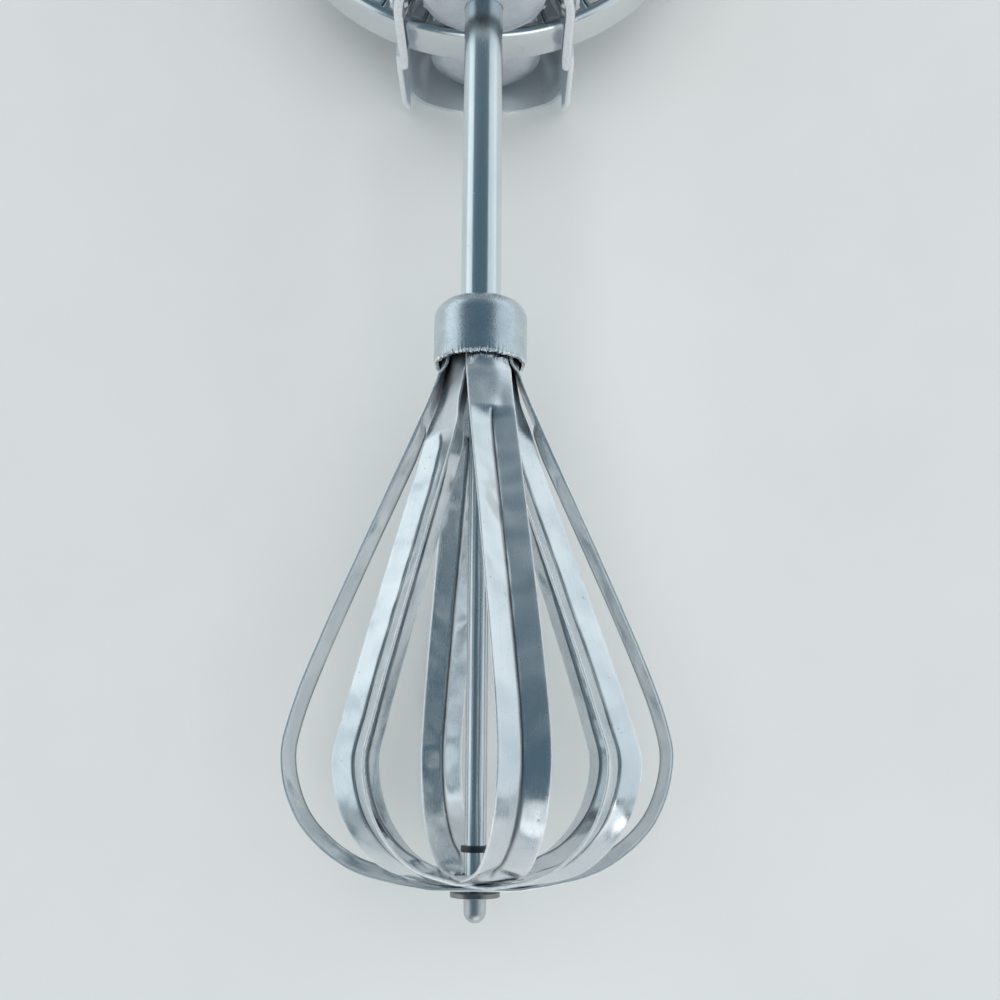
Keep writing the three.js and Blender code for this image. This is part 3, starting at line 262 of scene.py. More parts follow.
def cut(mesh, cutters):
    """The closed mesh less each cutter, as a new mesh. A cutter is points and faces."""
    clean(mesh)
    body = bpy.data.objects.new("body", mesh)
    bpy.context.scene.collection.objects.link(body)
    for cutter in cutters:
        tool_mesh = solid(*cutter)
        clean(tool_mesh)
        tool = bpy.data.objects.new("tool", tool_mesh)
        bpy.context.scene.collection.objects.link(tool)
        modifier = body.modifiers.new("cut", "BOOLEAN")
        modifier.operation, modifier.solver, modifier.object = "DIFFERENCE", "EXACT", tool
        result = bpy.data.meshes.new_from_object(body.evaluated_get(bpy.context.evaluated_depsgraph_get()))
        body.modifiers.clear()
        body.data = result
        bpy.data.objects.remove(tool)
    mesh = body.data
    bpy.data.objects.remove(body)
    return mesh


print("a round cutter has", len(cylinder("y", (0, 0), 1, 0, 1)[1]), "faces")

# %% [markdown]
# Shader building blocks
#
# All finishes here are procedural: a few noise patterns in the piece's own coordinates, mixed into colour,
# roughness and a small bump. `Nodes` is a thin helper that adds a node, fills its inputs and joins it up,
# so that each finish below reads as a short recipe. Object coordinates are in metres, so a pattern that is
# described in millimetres has its coordinates multiplied by a thousand.

# %% A small helper for node trees
class Nodes:
    """Adds nodes to the tree of one material, or of the world, and links them."""

    def __init__(self, owner):
        owner.use_nodes = True
        self.owner = owner
        self.tree = owner.node_tree

    def fill(self, socket, value):
        """Links an input to another node's output, or sets its constant value."""
        if isinstance(value, bpy.types.NodeSocket):
            self.tree.links.new(value, socket)
        else:
            socket.default_value = (*value, 1) if socket.type == "RGBA" else value

    def add(self, kind, values=None, **settings):
        """A new node with its options set and its inputs filled."""
        node = self.tree.nodes.new(kind)
        for key, value in settings.items():
            setattr(node, key, value)
        for key, value in (values or {}).items():
            self.fill(node.inputs[key], value)
        return node

    def coordinates(self, scale=(MM, MM, MM), turn_by=(0, 0, 0), source="Object"):
        """The piece's own coordinates, turned and stretched by a Mapping node; by default in millimetres."""
        start = self.add("ShaderNodeTexCoord")
        values = {"Vector": start.outputs[source], "Scale": scale, "Rotation": turn_by}
        return self.add("ShaderNodeMapping", values).outputs[0]

    def axes(self, source="Object"):
        """The coordinates along X, Y and Z, each by itself."""
        start = self.add("ShaderNodeTexCoord")
        return self.add("ShaderNodeSeparateXYZ", {0: start.outputs[source]}).outputs

    def attribute(self, name):
        """A value that the mesh keeps at its points."""
        return self.add("ShaderNodeAttribute", attribute_name=name).outputs["Fac"]

    def noise(self, vector, scale, detail=3.0, roughness=0.55, distortion=0.0):
        """Smooth random patches about 1 / scale wide, with finer ones on them."""
        values = {"Vector": vector, "Scale": scale, "Detail": detail, "Roughness": roughness,
                  "Distortion": distortion}
        return self.add("ShaderNodeTexNoise", values).outputs["Fac"]

    def band(self, value, start, end, low=0.0, high=1.0):
        """A value from `low` to `high` as the input goes from `start` to `end`, held outside them."""
        values = {"Value": value, "From Min": start, "From Max": end, "To Min": low, "To Max": high}
        return self.add("ShaderNodeMapRange", values).outputs[0]

    def math(self, operation, a, b):
        """Two values put together by one operation, such as ADD."""
        return self.add("ShaderNodeMath", {0: a, 1: b}, operation=operation).outputs[0]

    def plus(self, base, mask, amount):
        """base + amount * mask."""
        return self.math("ADD", base, self.band(mask, 0, 1, 0, amount))

    def blend(self, factor, a, b):
        """A colour between a and b: (1 - factor) a + factor b."""
        return self.add("ShaderNodeMix", {0: factor, 6: a, 7: b}, data_type="RGBA").outputs[2]

    def bump(self, height, distance, strength=1.0, onto=None):
        """A normal bent as if the surface rose by `distance` metres where `height` is 1."""
        values = {"Height": height, "Distance": distance, "Strength": strength}
        if onto is not None:
            values["Normal"] = onto
        return self.add("ShaderNodeBump", values).outputs[0]

    def finish(self, **inputs):
        """Fills the shader's inputs and gives the material. base_color means the input Base Color."""
        shader = self.tree.nodes["Principled BSDF"]
        for key, value in inputs.items():
            self.fill(shader.inputs[key.replace("_", " ").title()], value)
        return self.owner


def new_finish(name):
    """The helper on a new material."""
    return Nodes(bpy.data.materials.new(name))


print("node helpers:", ", ".join(name for name in vars(Nodes) if not name.startswith("_")))

# %% [markdown]
# Plated metal
#
# The beater is steel with a thin nickel plate. New nickel is a slightly warm mirror; after years of washing
# it is covered with fine scratches along the way the hand wipes, it has cloudy patches, and some small pits
# show. Each of these is one noise pattern. The scratches are stretched along the part by a small scale on
# that axis.

# %% Patterns of old plate
PIT_BROWN = (0.20, 0.17, 0.13)
# Painted shade, used at the bottoms of the strips' creases and on the necks under the cap.
PAINTED_SHADE_BLACK = (0.07, 0.08, 0.09)
# Painted highlight for the strips' long edges.
PAINTED_EDGE_HIGHLIGHT = (0.97, 0.98, 0.99)
CUT_BLUR = 0.0002    # half the height in metres over which the painted edge highlight, or the rod tip's tone, fades out


def plate_patterns(n, along, source):
    """Four patterns: fine scratches, a few crossed ones, cloudy patches and small spots."""
    stretched = [a * (1.0 if source == "UV" else MM) for a in along]
    fine = n.noise(n.coordinates(stretched, source=source), scale=2.6, detail=5.0, roughness=0.7)
    askew = n.coordinates(stretched, turn_by=(0.12, 0.2, 0.16), source=source)
    crossed = n.noise(askew, scale=1.4, detail=3.0, roughness=0.6)
    clouds = n.noise(n.coordinates(), scale=0.11, detail=4.0, roughness=0.6, distortion=0.6)
    spots = n.noise(n.coordinates(), scale=1.7, detail=2.0, roughness=0.5)
    return fine, crossed, clouds, spots


def plated(name, colour, roughness, along=(1, 1, 1), source="Object", scratch=0.10, cloud=0.10, pits=0.35,
           rub=0.35, wave=0.14, dent=0.0, crease=None, edge_highlight=None, highlight_or_wear_below=None, highlight_or_wear_tone=0.96,
           metallic=1.0):
    """Nickel plate with scratches, cloudy patches and pits; `scratch`, `cloud` and `pits` set how strong.

    `along` stretches the scratches: a small number on an axis makes them run along it. `rub` is how deep
    they are, `wave` is how uneven the sheet is, and `dent` is the height in millimetres of its broad dents.
    `crease` names an attribute that is 1 where painted shade darkens the colour towards black, and
    `edge_highlight` one that is 1 on edges that get a painted highlight. Below the height
    `highlight_or_wear_below`
    on the shaft's ruler lies the metal's cut edge, whose colour is set to the lightness
    `highlight_or_wear_tone`:
    a painted highlight on the frame, and a duller rubbed tip on the rod. With `metallic` under 1, dull
    plating scatters some of the light.
    """
    n = new_finish(name)
    fine, crossed, clouds, spots = plate_patterns(n, along, source)
    pit = n.band(spots, 0.70, 0.78)
    rough = n.band(n.band(fine, 0.52, 0.70), 0, 1, roughness, roughness + scratch)
    rough = n.plus(rough, n.band(clouds, 0.42, 0.66), cloud)
    rough = n.plus(rough, pit, 0.22)
    misty = [c * share for c, share in zip(colour, (0.90, 0.93, 0.95))]
    shade = n.blend(n.band(clouds, 0.35, 0.72), colour, misty)
    shade = n.blend(n.band(crossed, 0.60, 0.76, 0, 0.35), shade, [c * 0.80 for c in colour])
    shade = n.blend(n.band(pit, 0, 1, 0, pits), shade, PIT_BROWN)
    # Painted shade: where the attribute is 1, the colour is darkened towards black.
    if crease:
        crease_and_neck_shade = n.math("MULTIPLY", n.attribute(crease), n.band(clouds, 0.25, 0.60, 0.55, 0.95))
        shade = n.blend(crease_and_neck_shade, shade, PAINTED_SHADE_BLACK)
        rough = n.plus(rough, crease_and_neck_shade, 0.2)
    # Painted highlight: the marked edges are lightened, and made rougher.
    if edge_highlight:
        highlight_or_bare = n.attribute(edge_highlight)
        shade = n.blend(n.math("MULTIPLY", highlight_or_bare, n.band(spots, 0.30, 0.55, 0.6, 1.0)), shade, PAINTED_EDGE_HIGHLIGHT)
        rough = n.plus(rough, highlight_or_bare, 0.30)
    # Below the height: on the frame, a painted highlight on the sheet edge; on the rod, a duller rubbed tip.
    if highlight_or_wear_below is not None:
        edge = (highlight_or_wear_below + SHIFT_Y) / MM
        highlight_or_bare = n.band(n.axes()["Y"], edge + CUT_BLUR, edge - CUT_BLUR)
        highlight_or_wear_colour = [highlight_or_wear_tone - 0.01, highlight_or_wear_tone, highlight_or_wear_tone + 0.01]
        shade = n.blend(n.math("MULTIPLY", highlight_or_bare, n.band(spots, 0.35, 0.60, 0.75, 1.0)), shade, highlight_or_wear_colour)
        rough = n.plus(rough, highlight_or_bare, 0.22)
    normal = n.bump(fine, 0.000004, rub)
    normal = n.bump(clouds, 0.00006, wave, onto=normal)
    if dent:
        broad = n.noise(n.coordinates(), scale=0.12, detail=1.0, roughness=0.4, distortion=0.3)
        normal = n.bump(broad, dent / MM, onto=normal)
    return n.finish(base_color=shade, roughness=rough, normal=normal, metallic=metallic)


print("plate colours:", PIT_BROWN, PAINTED_SHADE_BLACK, PAINTED_EDGE_HIGHLIGHT)

# %% [markdown]
# Seven kinds of plate
#
# Each piece was handled and washed in its own way. The strips are the most scratched, along their length,
# and their edges are lightened by a painted highlight. The tube and the rod are wiped smooth. The frame's
# rear wall is dull, because no hand reaches in there to polish it. The sheet edge of both frame halves at
# the collar is lightened by a painted highlight.

# %% Nickel finishes
COLLAR_EDGE_Y = 142.0    # below this, the frame's sheet edge gets a painted highlight
ROD_TIP_Y = -0.9         # below this, the rod's end is rubbed
nickel_blade = plated("nickel_blade", (0.74, 0.77, 0.79), 0.15, along=(3.2, 0.10, 3.2), source="UV",
                      scratch=0.15, cloud=0.17, pits=0.55, rub=0.5, wave=0.5, dent=1.0, crease="painted_shade",
                      edge_highlight="painted_edge_highlight")
nickel_tube = plated("nickel_tube", (0.73, 0.78, 0.80), 0.16, along=(2.4, 0.05, 2.4), cloud=0.05, pits=0.15)
nickel_rod = plated("nickel_rod", (0.70, 0.73, 0.75), 0.18, along=(2.4, 0.06, 2.4), cloud=0.07,
                    highlight_or_wear_below=ROD_TIP_Y, highlight_or_wear_tone=0.58)
nickel_frame = plated("nickel_frame", (0.73, 0.75, 0.77), 0.24, along=(2.0, 0.22, 2.0), rub=0.15, dent=0.3,
                      highlight_or_wear_below=COLLAR_EDGE_Y)
nickel_wall = plated("nickel_wall", (0.73, 0.77, 0.80), 0.40, scratch=0.05, cloud=0.05, rub=0.05, dent=0.2,
                     highlight_or_wear_below=COLLAR_EDGE_Y, metallic=0.55)
nickel_wheel = plated("nickel_wheel", (0.73, 0.75, 0.76), 0.20, along=(1.1, 1.1, 1.1), scratch=0.06,
                      cloud=0.04, pits=0.15, rub=0.04, wave=0.05, dent=0.25)
nickel_crank = plated("nickel_crank", (0.73, 0.75, 0.76), 0.19, along=(1.2, 0.5, 1.2))
print("plated finishes:", [m.name for m in bpy.data.materials if m.name.startswith("nickel")])

# %% [markdown]
# Satin, dark and bare steel
#
# The blade cap was tumbled before it was plated, so its surface is finely pebbled and shines softly. The
# dished discs have the same finish. Hidden brackets and bushes are plain steel, and the washer, the ring
# and what turns on the rod are darker steel. The cap's crimped rim is lightened by a painted highlight.

# %% Satin and dark steel
STAIN_BROWN = (0.22, 0.19, 0.16)
# Painted highlight on the cap's crimped rim.
PAINTED_BURR_HIGHLIGHT = (0.92, 0.93, 0.94)


def satin(name, colour, roughness, grain=0.16, depth=0.000018, stain=0.25, burr_and_highlight_below=None):
    """Pebbled metal: bumps about `grain` millimetres wide and `depth` metres high, with soft brown stains.

    Below the height `burr_and_highlight_below` on the shaft's ruler, the metal was cut and crimped: torn and
    uneven, and lightened by a painted highlight. The upper limit of this band is that height moved up and
    down by a noise.
    """
    n = new_finish(name)
    around = n.coordinates()
    pebble = n.noise(around, scale=1 / grain, detail=2.0, roughness=0.6)
    patch = n.noise(around, scale=0.35, detail=4.0, roughness=0.6)
    speck = n.band(n.noise(around, scale=2.3, detail=3.0, roughness=0.65), 0.60, 0.72)
    shade = n.blend(n.band(patch, 0.35, 0.7), colour, [c * 0.86 for c in colour])
    shade = n.blend(n.band(speck, 0, 1, 0, stain), shade, STAIN_BROWN)
    rough = n.plus(n.band(pebble, 0.3, 0.7, roughness - 0.05, roughness + 0.08), speck, 0.15)
    normal = n.bump(pebble, depth, 0.9)
    normal = n.bump(patch, 0.00005, 0.3, onto=normal)
    if burr_and_highlight_below is not None:
        edge = (burr_and_highlight_below + SHIFT_Y) / MM
        torn = n.noise(around, scale=2.0, detail=4.0, roughness=0.7)
        uneven = n.math("ADD", n.axes()["Y"], n.band(torn, 0.3, 0.7, -0.0003, 0.0004))
        burr_and_highlight = n.band(uneven, edge + 0.0004, edge + 0.0002)
        # Painted highlight: the torn rim is lightened.
        shade = n.blend(burr_and_highlight, shade, PAINTED_BURR_HIGHLIGHT)
        normal = n.bump(n.math("MULTIPLY", torn, burr_and_highlight), 0.0002, 0.6, onto=normal)
    return n.finish(base_color=shade, roughness=rough, normal=normal, metallic=1.0)


satin_cap = satin("satin_cap", (0.62, 0.69, 0.74), 0.27, grain=0.26, depth=0.00003,
                  burr_and_highlight_below=CAP_RIM_Y + 0.05)
satin_disc = satin("satin_disc", (0.62, 0.65, 0.70), 0.30, grain=0.22, depth=0.00002, stain=0.3)
plain_steel = satin("plain_steel", (0.56, 0.57, 0.57), 0.36, grain=0.3, depth=0.00001)
dark_steel = satin("dark_steel", (0.10, 0.10, 0.105), 0.42, grain=0.25, depth=0.00001, stain=0.5)
worn_steel = satin("worn_steel", (0.30, 0.29, 0.28), 0.34, grain=0.25, depth=0.00002, stain=0.4)
rivet_steel = satin("rivet_steel", (0.68, 0.70, 0.71), 0.27, grain=0.35, depth=0.000012, stain=0.2)
print("materials so far:", len(bpy.data.materials))

# %% [markdown]
# Lacquered wood
#
# Handles and knobs of such beaters are turned hardwood dipped in red lacquer. The lacquer is a clear coat
# over a strong red; it pools a little darker in the grain, and it wears thin where the palm rubs, so brown
# wood shows through in small worn places.

# %% Red lacquer
def lacquered(name, along):
    """Red lacquer on wood with grain stretched by `along`, worn off where two noises are both high."""
    n = new_finish(name)
    grain = n.noise(n.coordinates([MM * a for a in along]), scale=0.9, detail=6.0, roughness=0.65,
                    distortion=0.4)
    wear = n.noise(n.coordinates(), scale=0.16, detail=5.0, roughness=0.62, distortion=0.5)
    chip = n.noise(n.coordinates(), scale=0.9, detail=3.0, roughness=0.6)
    worn = n.math("MULTIPLY", n.band(wear, 0.60, 0.68), n.band(chip, 0.44, 0.56))
    wood = n.blend(n.band(grain, 0.35, 0.65), (0.42, 0.22, 0.10), (0.24, 0.11, 0.05))
    red = n.blend(n.band(grain, 0.30, 0.72), (0.50, 0.022, 0.016), (0.33, 0.012, 0.010))
    normal = n.bump(grain, 0.00004, 0.35)
    normal = n.bump(worn, 0.00008, -0.6, onto=normal)
    lacquer = n.blend(worn, red, wood)
    return n.finish(base_color=lacquer, roughness=n.band(worn, 0, 1, 0.30, 0.62), normal=normal,
                    coat_weight=0.6, coat_roughness=0.08)


lacquer_grip = lacquered("lacquer_grip", (1.6, 0.12, 1.6))
lacquer_knob = lacquered("lacquer_knob", (1.6, 1.6, 0.12))
print("wooden finishes:", lacquer_grip.name, lacquer_knob.name)

# %% [markdown]
# The blades
#
# A blade loop is one long strip of thin sheet. Its two ends are curved round the core inside the cap, its
# sides are pressed to a shallow V so that the thin strip stays stiff, and its middle lies flat in the stack
# at the hub. So the loop is a section carried along a path. The path is a smooth curve through the same
# places as in the CAD model, and the section changes along it from a curved one, to a V, to a flat one.

# %% Sizes of the loops
STRIP_WIDTH = 7.2
STRIP_THICKNESS = 0.46
LOWEST_STRIP_Y = 0.275
STACK_PITCH = 0.50
WIDEST_Y = 17.3
CAP_TOP_Y = CAP_RIM_Y + 10.2
NECK = {"inner": dict(radius=5.1, bend=7.5, start=11.5, open=3.0, width=5.2, straight=0.925),
        "outer": dict(radius=5.85, bend=8.4, start=8.4, open=2.0, width=7.2, straight=0.965)}
BELLY = ((0.9, 0.47), (0.655, 0.82), (0.39, 0.953), (0.14, 1))    # shares of the radius and of the way down
FRONT_LEVEL = 3    # the front loop lies on top of the stack
LOOPS = {
    "blade_loop_side": dict(azimuth=88, radii=(27.9, 27.7), level=0, layer="outer"),
    "blade_loop_right": dict(azimuth=46, radii=(27.2, 25.8), level=1, layer="inner"),
    "blade_loop_left": dict(azimuth=133, radii=(28.0, 22.8), level=2, layer="inner"),
    "blade_loop_front": dict(azimuth=13, radii=(28.3, 28.3), level=FRONT_LEVEL, layer="outer"),
}


def stack_y(level):
    """Height of a strip's middle in the stack at the hub."""
    return LOWEST_STRIP_Y + level * STACK_PITCH


def crease_start(layer):
    """Height at which the pressed V of a loop's sides starts."""
    return CAP_RIM_Y - NECK[layer]["start"]


def side_points(radius, level, layer):
    """Places that one side of a loop passes, from the cap to the hub: distance from the shaft, height."""
    neck = NECK[layer]
    r0 = neck["radius"]
    opening = (neck["bend"] - r0) * neck["open"] / neck["start"]
    drop = WIDEST_Y - stack_y(level)
    upper = [(r0, CAP_TOP_Y - 2.6), (r0, CAP_RIM_Y - neck["open"] / 2),
             (r0 + opening, CAP_RIM_Y - neck["open"] * 1.6), (neck["bend"], crease_start(layer)),
             (radius * neck["straight"], WIDEST_Y + 7), (radius, WIDEST_Y)]
    return upper + [(radius * out, WIDEST_Y - drop * down) for out, down in BELLY]


print("places on one side of a loop:", len(side_points(27.9, 0, "outer")))

# %% [markdown]
# A smooth path with dense rows where it matters
#
# The curve has to pass through every place without swinging out between them. A cubic between each two
# places does so when its slopes there are worked out with knots spaced by the square root of the distance.
# The rows of the strip are then laid out by length, closer together where the crease starts, because the
# shape changes within a millimetre there.

# %% The path of a loop
LOOP_ROWS = 520
HUB_BEND = (5.2, 8.5)    # distances from the shaft between which a strip rises out of the stack


def ramp(x, low, high):
    """Smooth step from 0 at `low` to 1 at `high`: t^2 (3 - 2t), with t the share of the way."""
    t = np.clip((x - low) / (high - low), 0, 1)
    return t * t * (3 - 2 * t)


def mix(a, b, share):
    """a where the share is 0, b where it is 1."""
    return a + (b - a) * share


def smooth_curve(points, per_span=24):
    """A smooth curve through all places: between two of them, a cubic whose slopes come from those around.

    It is (2t^3 - 3t^2 + 1) a + (t^3 - 2t^2 + t) m1 + (3t^2 - 2t^3) b + (t^3 - t^2) m2, with m1 and m2 the
    slopes at a and b. The knots' spacing keeps the curve from overshooting.
    """
    p = np.asarray(points, float)
    p = np.vstack([2 * p[0] - p[1], p, 2 * p[-1] - p[-2]])
    gap = np.sqrt(np.linalg.norm(np.diff(p, axis=0), axis=1))
    d0, d1, d2 = gap[:-2, None], gap[1:-1, None], gap[2:, None]
    m1 = ((p[1:-2] - p[:-3]) / d0 - (p[2:-1] - p[:-3]) / (d0 + d1) + (p[2:-1] - p[1:-2]) / d1) * d1
    m2 = ((p[2:-1] - p[1:-2]) / d1 - (p[3:] - p[1:-2]) / (d1 + d2) + (p[3:] - p[2:-1]) / d2) * d1
    t = np.linspace(0, 1, per_span, endpoint=False)[:, None, None]
    a, b = p[1:-2][None], p[2:-1][None]
    curve = ((2 * t ** 3 - 3 * t ** 2 + 1) * a + (t ** 3 - 2 * t ** 2 + t) * m1[None]
             + (3 * t ** 2 - 2 * t ** 3) * b + (t ** 3 - t ** 2) * m2[None])
    curve = curve.transpose(1, 0, 2).reshape(-1, 2)
    return np.vstack([curve, p[-2]])


def lay_out(curve, count, busy_y):
    """The curve at `count` places, its slope there and the length up to there.

    The places lie five times as close together near the height `busy_y`, by a bell curve of the height.
    """
    steps = np.linalg.norm(np.diff(curve, axis=0), axis=1)
    middle = (curve[1:, 1] + curve[:-1, 1]) / 2
    weight = steps * (1 + 4 * np.exp(-((middle - busy_y) / 2.2) ** 2))
    share = np.concatenate([[0], np.cumsum(weight)])
    length = np.concatenate([[0], np.cumsum(steps)])
    want = np.interp(np.linspace(0, share[-1], count), share, length)
    at = np.stack([np.interp(want, length, curve[:, k]) for k in (0, 1)], axis=1)
    slope = np.stack([np.gradient(at[:, k], want) for k in (0, 1)], axis=1)
    return at, slope / np.linalg.norm(slope, axis=1)[:, None], want


def loop_path(radii, level, layer):
    """Distance, height, normal and length at each row of a strip, from one end in the cap to the other.

    Inside the hub's bend, height and slope are blended into the level stretch that lies in the stack.
    """
    near = side_points(radii[0], level, layer)
    far = [(-r, y) for r, y in side_points(radii[1], level, layer)][::-1]
    curve = smooth_curve(near + [(0, stack_y(level))] + far)
    at, slope, length = lay_out(curve, LOOP_ROWS, crease_start(layer))
    r, y = at.T
    in_stack = (1 - ramp(np.abs(r), *HUB_BEND)) * (y < WIDEST_Y)
    y = mix(y, stack_y(level), in_stack)
    slope = mix(slope, np.array([-1.0, 0]), in_stack[:, None])
    normal = np.stack([-slope[:, 1], slope[:, 0]], axis=1)
    return r, y, normal / np.linalg.norm(normal, axis=1)[:, None], length


for node, loop in LOOPS.items():
    print(node, "is %.1f mm long when flat" % loop_path(loop["radii"], loop["level"], loop["layer"])[-1][-1])

# %% [markdown]
# The pressed crease
#
# Across the strip, v goes from -1 at one edge to 1 at the other. The V is |v| with a rounded bottom, so its
# depth is sqrt(v^2 + e^2) turned over, and the press left a fine line at its bottom. Under the cap the V
# starts within a millimetre, on a line that hangs lowest in the middle, by 1 - v^2: that is the curved end,
# like a smile, that is seen on each strip.

# %% Depth of the crease
ACROSS = np.concatenate([[-1, -0.985, -0.96], np.linspace(-0.92, -0.2, 7), np.linspace(-0.15, 0.15, 11),
                         np.linspace(0.2, 0.92, 7), [0.96, 0.985, 1]])[None, :]
CREASE_DEPTH = 1.15
CREASE_END = (8.6, 13.5)     # distances from the shaft between which the V fades in below the widest place
GROOVE_ROUND = 0.05
PRESS_LINE_DEPTH = 0.13
PRESS_LINE_HALF = 0.075
SMILE_DROP, SMILE_LENGTH = 0.4, 2.2
FAR_BELOW = 99


def crease(r, y, layer):
    """For each row and place across: the V's depth, its fine line's strength, and the V's share."""
    upper = y > WIDEST_Y
    share = np.where(upper, 1, ramp(np.abs(r), *CREASE_END))[:, None]
    vee = 1 - (np.sqrt(ACROSS ** 2 + GROOVE_ROUND ** 2) - GROOVE_ROUND) / (1 - GROOVE_ROUND * 0.9)
    below = np.where(upper, crease_start(layer) - y, FAR_BELOW)[:, None]
    smile = below - SMILE_DROP * (1 - ACROSS ** 2)
    fade_in = 0.65 * ramp(smile, 0, SMILE_LENGTH) + 0.35 * ramp(smile, 0, 3 * SMILE_LENGTH)
    # The fine line's strength also sets where painted shade darkens the crease's bottom.
    line = np.exp(-(ACROSS / PRESS_LINE_HALF) ** 2) * ramp(smile, 0.3, 1.0) * share
    return CREASE_DEPTH * share * vee * fade_in + PRESS_LINE_DEPTH * line, line, share


print("places across a strip:", ACROSS.size, "and the V is", CREASE_DEPTH, "mm deep")

# %% [markdown]
# The section of a strip
#
# In the neck the strip isn't creased but curved round the core in the cap, so the section is blended from a
# circle's arc to the V on the way down. The V draws the edges together a little. The edges are rounded over
# because a thin bright line runs along each of them, and the finish adds a painted highlight there. Two
# attributes go with the mesh for the finish: where painted shade darkens the crease's bottom and the necks
# under the cap, and where the painted highlight lightens the edges. The front loop's neck is left clean; the
# necks of the loops behind it get the painted shade.

# %% Surface of a strip
NECK_TAPER = 5.0
CREASE_PULL = 0.12      # how far the V draws each edge towards the middle
EDGE_START = 0.945      # share of the half width at which the edge starts to round over
THINNEST = 0.05
NECK_SHADE_REACH = 9.0       # how far below the cap the painted shade on the rear loops' necks reaches
NECK_SHADE_STRENGTH = 0.95
# Shares of the half width over which the edges get a painted highlight.
EDGE_HIGHLIGHT_BAND = (0.90, 0.96)


def there_and_back(across):
    """Values from edge to edge over the top of the strip, and back again under it."""
    return np.concatenate([across, across[:, ::-1]], axis=1)


def strip_surface(azimuth, radii, level, layer):
    """A closed strip's points (row along the path, place round the section), UV map and attributes."""
    r, y, normal, length = loop_path(radii, level, layer)
    depth, line, share = crease(r, y, layer)
    start_y = crease_start(layer)
    wrap = 0.12 * ramp(y, start_y - 1.6, start_y + 0.8) + 0.88 * ramp(y, CAP_RIM_Y - 2.6, CAP_RIM_Y - 0.1)
    wrap = wrap[:, None]
    width = mix(STRIP_WIDTH, NECK[layer]["width"], ramp(y, start_y, start_y + NECK_TAPER))
    half = width[:, None] / 2 - CREASE_PULL * share
    reach = np.maximum(np.abs(r), 1.0)[:, None]
    angle = half * ACROSS / reach
    shift = there_and_back(mix(half * ACROSS, reach * np.sin(angle), wrap))
    depth = depth * (1 - ramp(wrap, 0, 1)) + reach * (1 - np.cos(angle)) * wrap
    past_edge = ((np.abs(ACROSS) - EDGE_START) / (1 - EDGE_START)).clip(0)
    thick = STRIP_THICKNESS / 2 * np.sqrt(np.clip(1 - past_edge ** 2, THINNEST, 1))
    off = np.concatenate([thick - depth, (-thick - depth)[:, ::-1]], axis=1)
    az = radians(azimuth)
    outward, across = np.array([sin(az), 0, cos(az)]), np.array([cos(az), 0, -sin(az)])
    along_r = r[:, None] + normal[:, 0:1] * off
    points = along_r[..., None] * outward + shift[..., None] * across
    points[..., 1] += y[:, None] + normal[:, 1:2] * off
    uv = np.stack([shift, np.broadcast_to(length[:, None], off.shape)], axis=-1)
    # Painted shade: the necks of the loops behind the front one darken towards the cap's rim.
    if level < FRONT_LEVEL:
        line = np.maximum(line, NECK_SHADE_STRENGTH * ramp(y, CAP_RIM_Y - NECK_SHADE_REACH, CAP_RIM_Y - 1.5)[:, None])
    # Painted highlight along both long edges of the strip.
    rim = np.broadcast_to(ramp(np.abs(ACROSS), *EDGE_HIGHLIGHT_BAND), line.shape)
    return points, uv, {"painted_shade": there_and_back(line), "painted_edge_highlight": there_and_back(rim)}


print("points in one strip:", LOOP_ROWS * 2 * ACROSS.size)

# %% [markdown]
# Four loops, one in front of the other
#
# The loops differ only in their azimuth, their two radii, their place in the stack and how near to the core
# their ends lie, so one loop of code makes them all. Each gets a hole for the rod where it crosses the
# shaft.

# %% Build the loops
ROD_HOLE = 1.7


def strip_mesh(points, uv, marks):
    """The strip as a mesh with a hole for the rod.

    Its UV map holds the distances across and along it. Its attribute `painted_shade` is 1 where painted shade
    darkens the crease's bottom and the rear loops' necks, and `painted_edge_highlight` is 1 on the two long
    edges, where a painted highlight lightens them.
    """
    points, quads = capped(points)
    mesh = solid(points, quads)
    layer = mesh.uv_layers.new(name="along_strip")
    layer.data.foreach_set("uv", uv.reshape(-1, 2)[quads.ravel()].astype(np.float32).ravel())
    for mark, values in marks.items():
        attribute = mesh.attributes.new(mark, "FLOAT", "POINT")
        attribute.data.foreach_set("value", values.astype(np.float32).ravel())
    return cut(mesh, [cylinder("y", (0, 0), ROD_HOLE, -2, 6, 40)])


for node, loop in LOOPS.items():
    mesh = strip_mesh(*strip_surface(**loop))
    finish_piece(node, mesh, nickel_blade, "strip")
    print(node, "has", len(mesh.polygons), "faces")

# %% [markdown]
# The blade cap
#
# The cap is drawn from sheet like a thimble, and its rim was pressed in round the necks of the strips, so
# it is not quite even: a slow wave and a few small nicks run round it. It is a turned part whose rim is
# then moved.

# %% Cap with its pressed rim
CAP_RADIUS = 7.27
CAP_SHEET = 0.65
CAP_SHOULDER = 2.9
CAP_HOLE = 3.30
RIM_REACH = 0.45


def cap_profile():
    """The cap's wall as a closed line: up the outside, over the shoulder and down the inside."""
    shoulder = (CAP_RADIUS - CAP_SHOULDER, CAP_TOP_Y - CAP_SHOULDER)
    outer = [(CAP_RADIUS - 0.10, CAP_RIM_Y), (CAP_RADIUS, CAP_RIM_Y + 0.25)]
    outer += [(CAP_RADIUS, y) for y in np.linspace(CAP_RIM_Y + 0.7, CAP_TOP_Y - 3.2, 7)]
    outer += arc(*shoulder, CAP_SHOULDER, 0, 86, 12)
    outer += [(CAP_HOLE + 0.32, CAP_TOP_Y), (CAP_HOLE, CAP_TOP_Y - 0.12), (CAP_HOLE, CAP_TOP_Y - 0.5)]
    inner = arc(*shoulder, CAP_SHOULDER - CAP_SHEET, 86, 0, 8)
    return outer + inner + [(CAP_RADIUS - CAP_SHEET, CAP_RIM_Y + 0.7), (CAP_RADIUS - 0.6, CAP_RIM_Y + 0.05)]


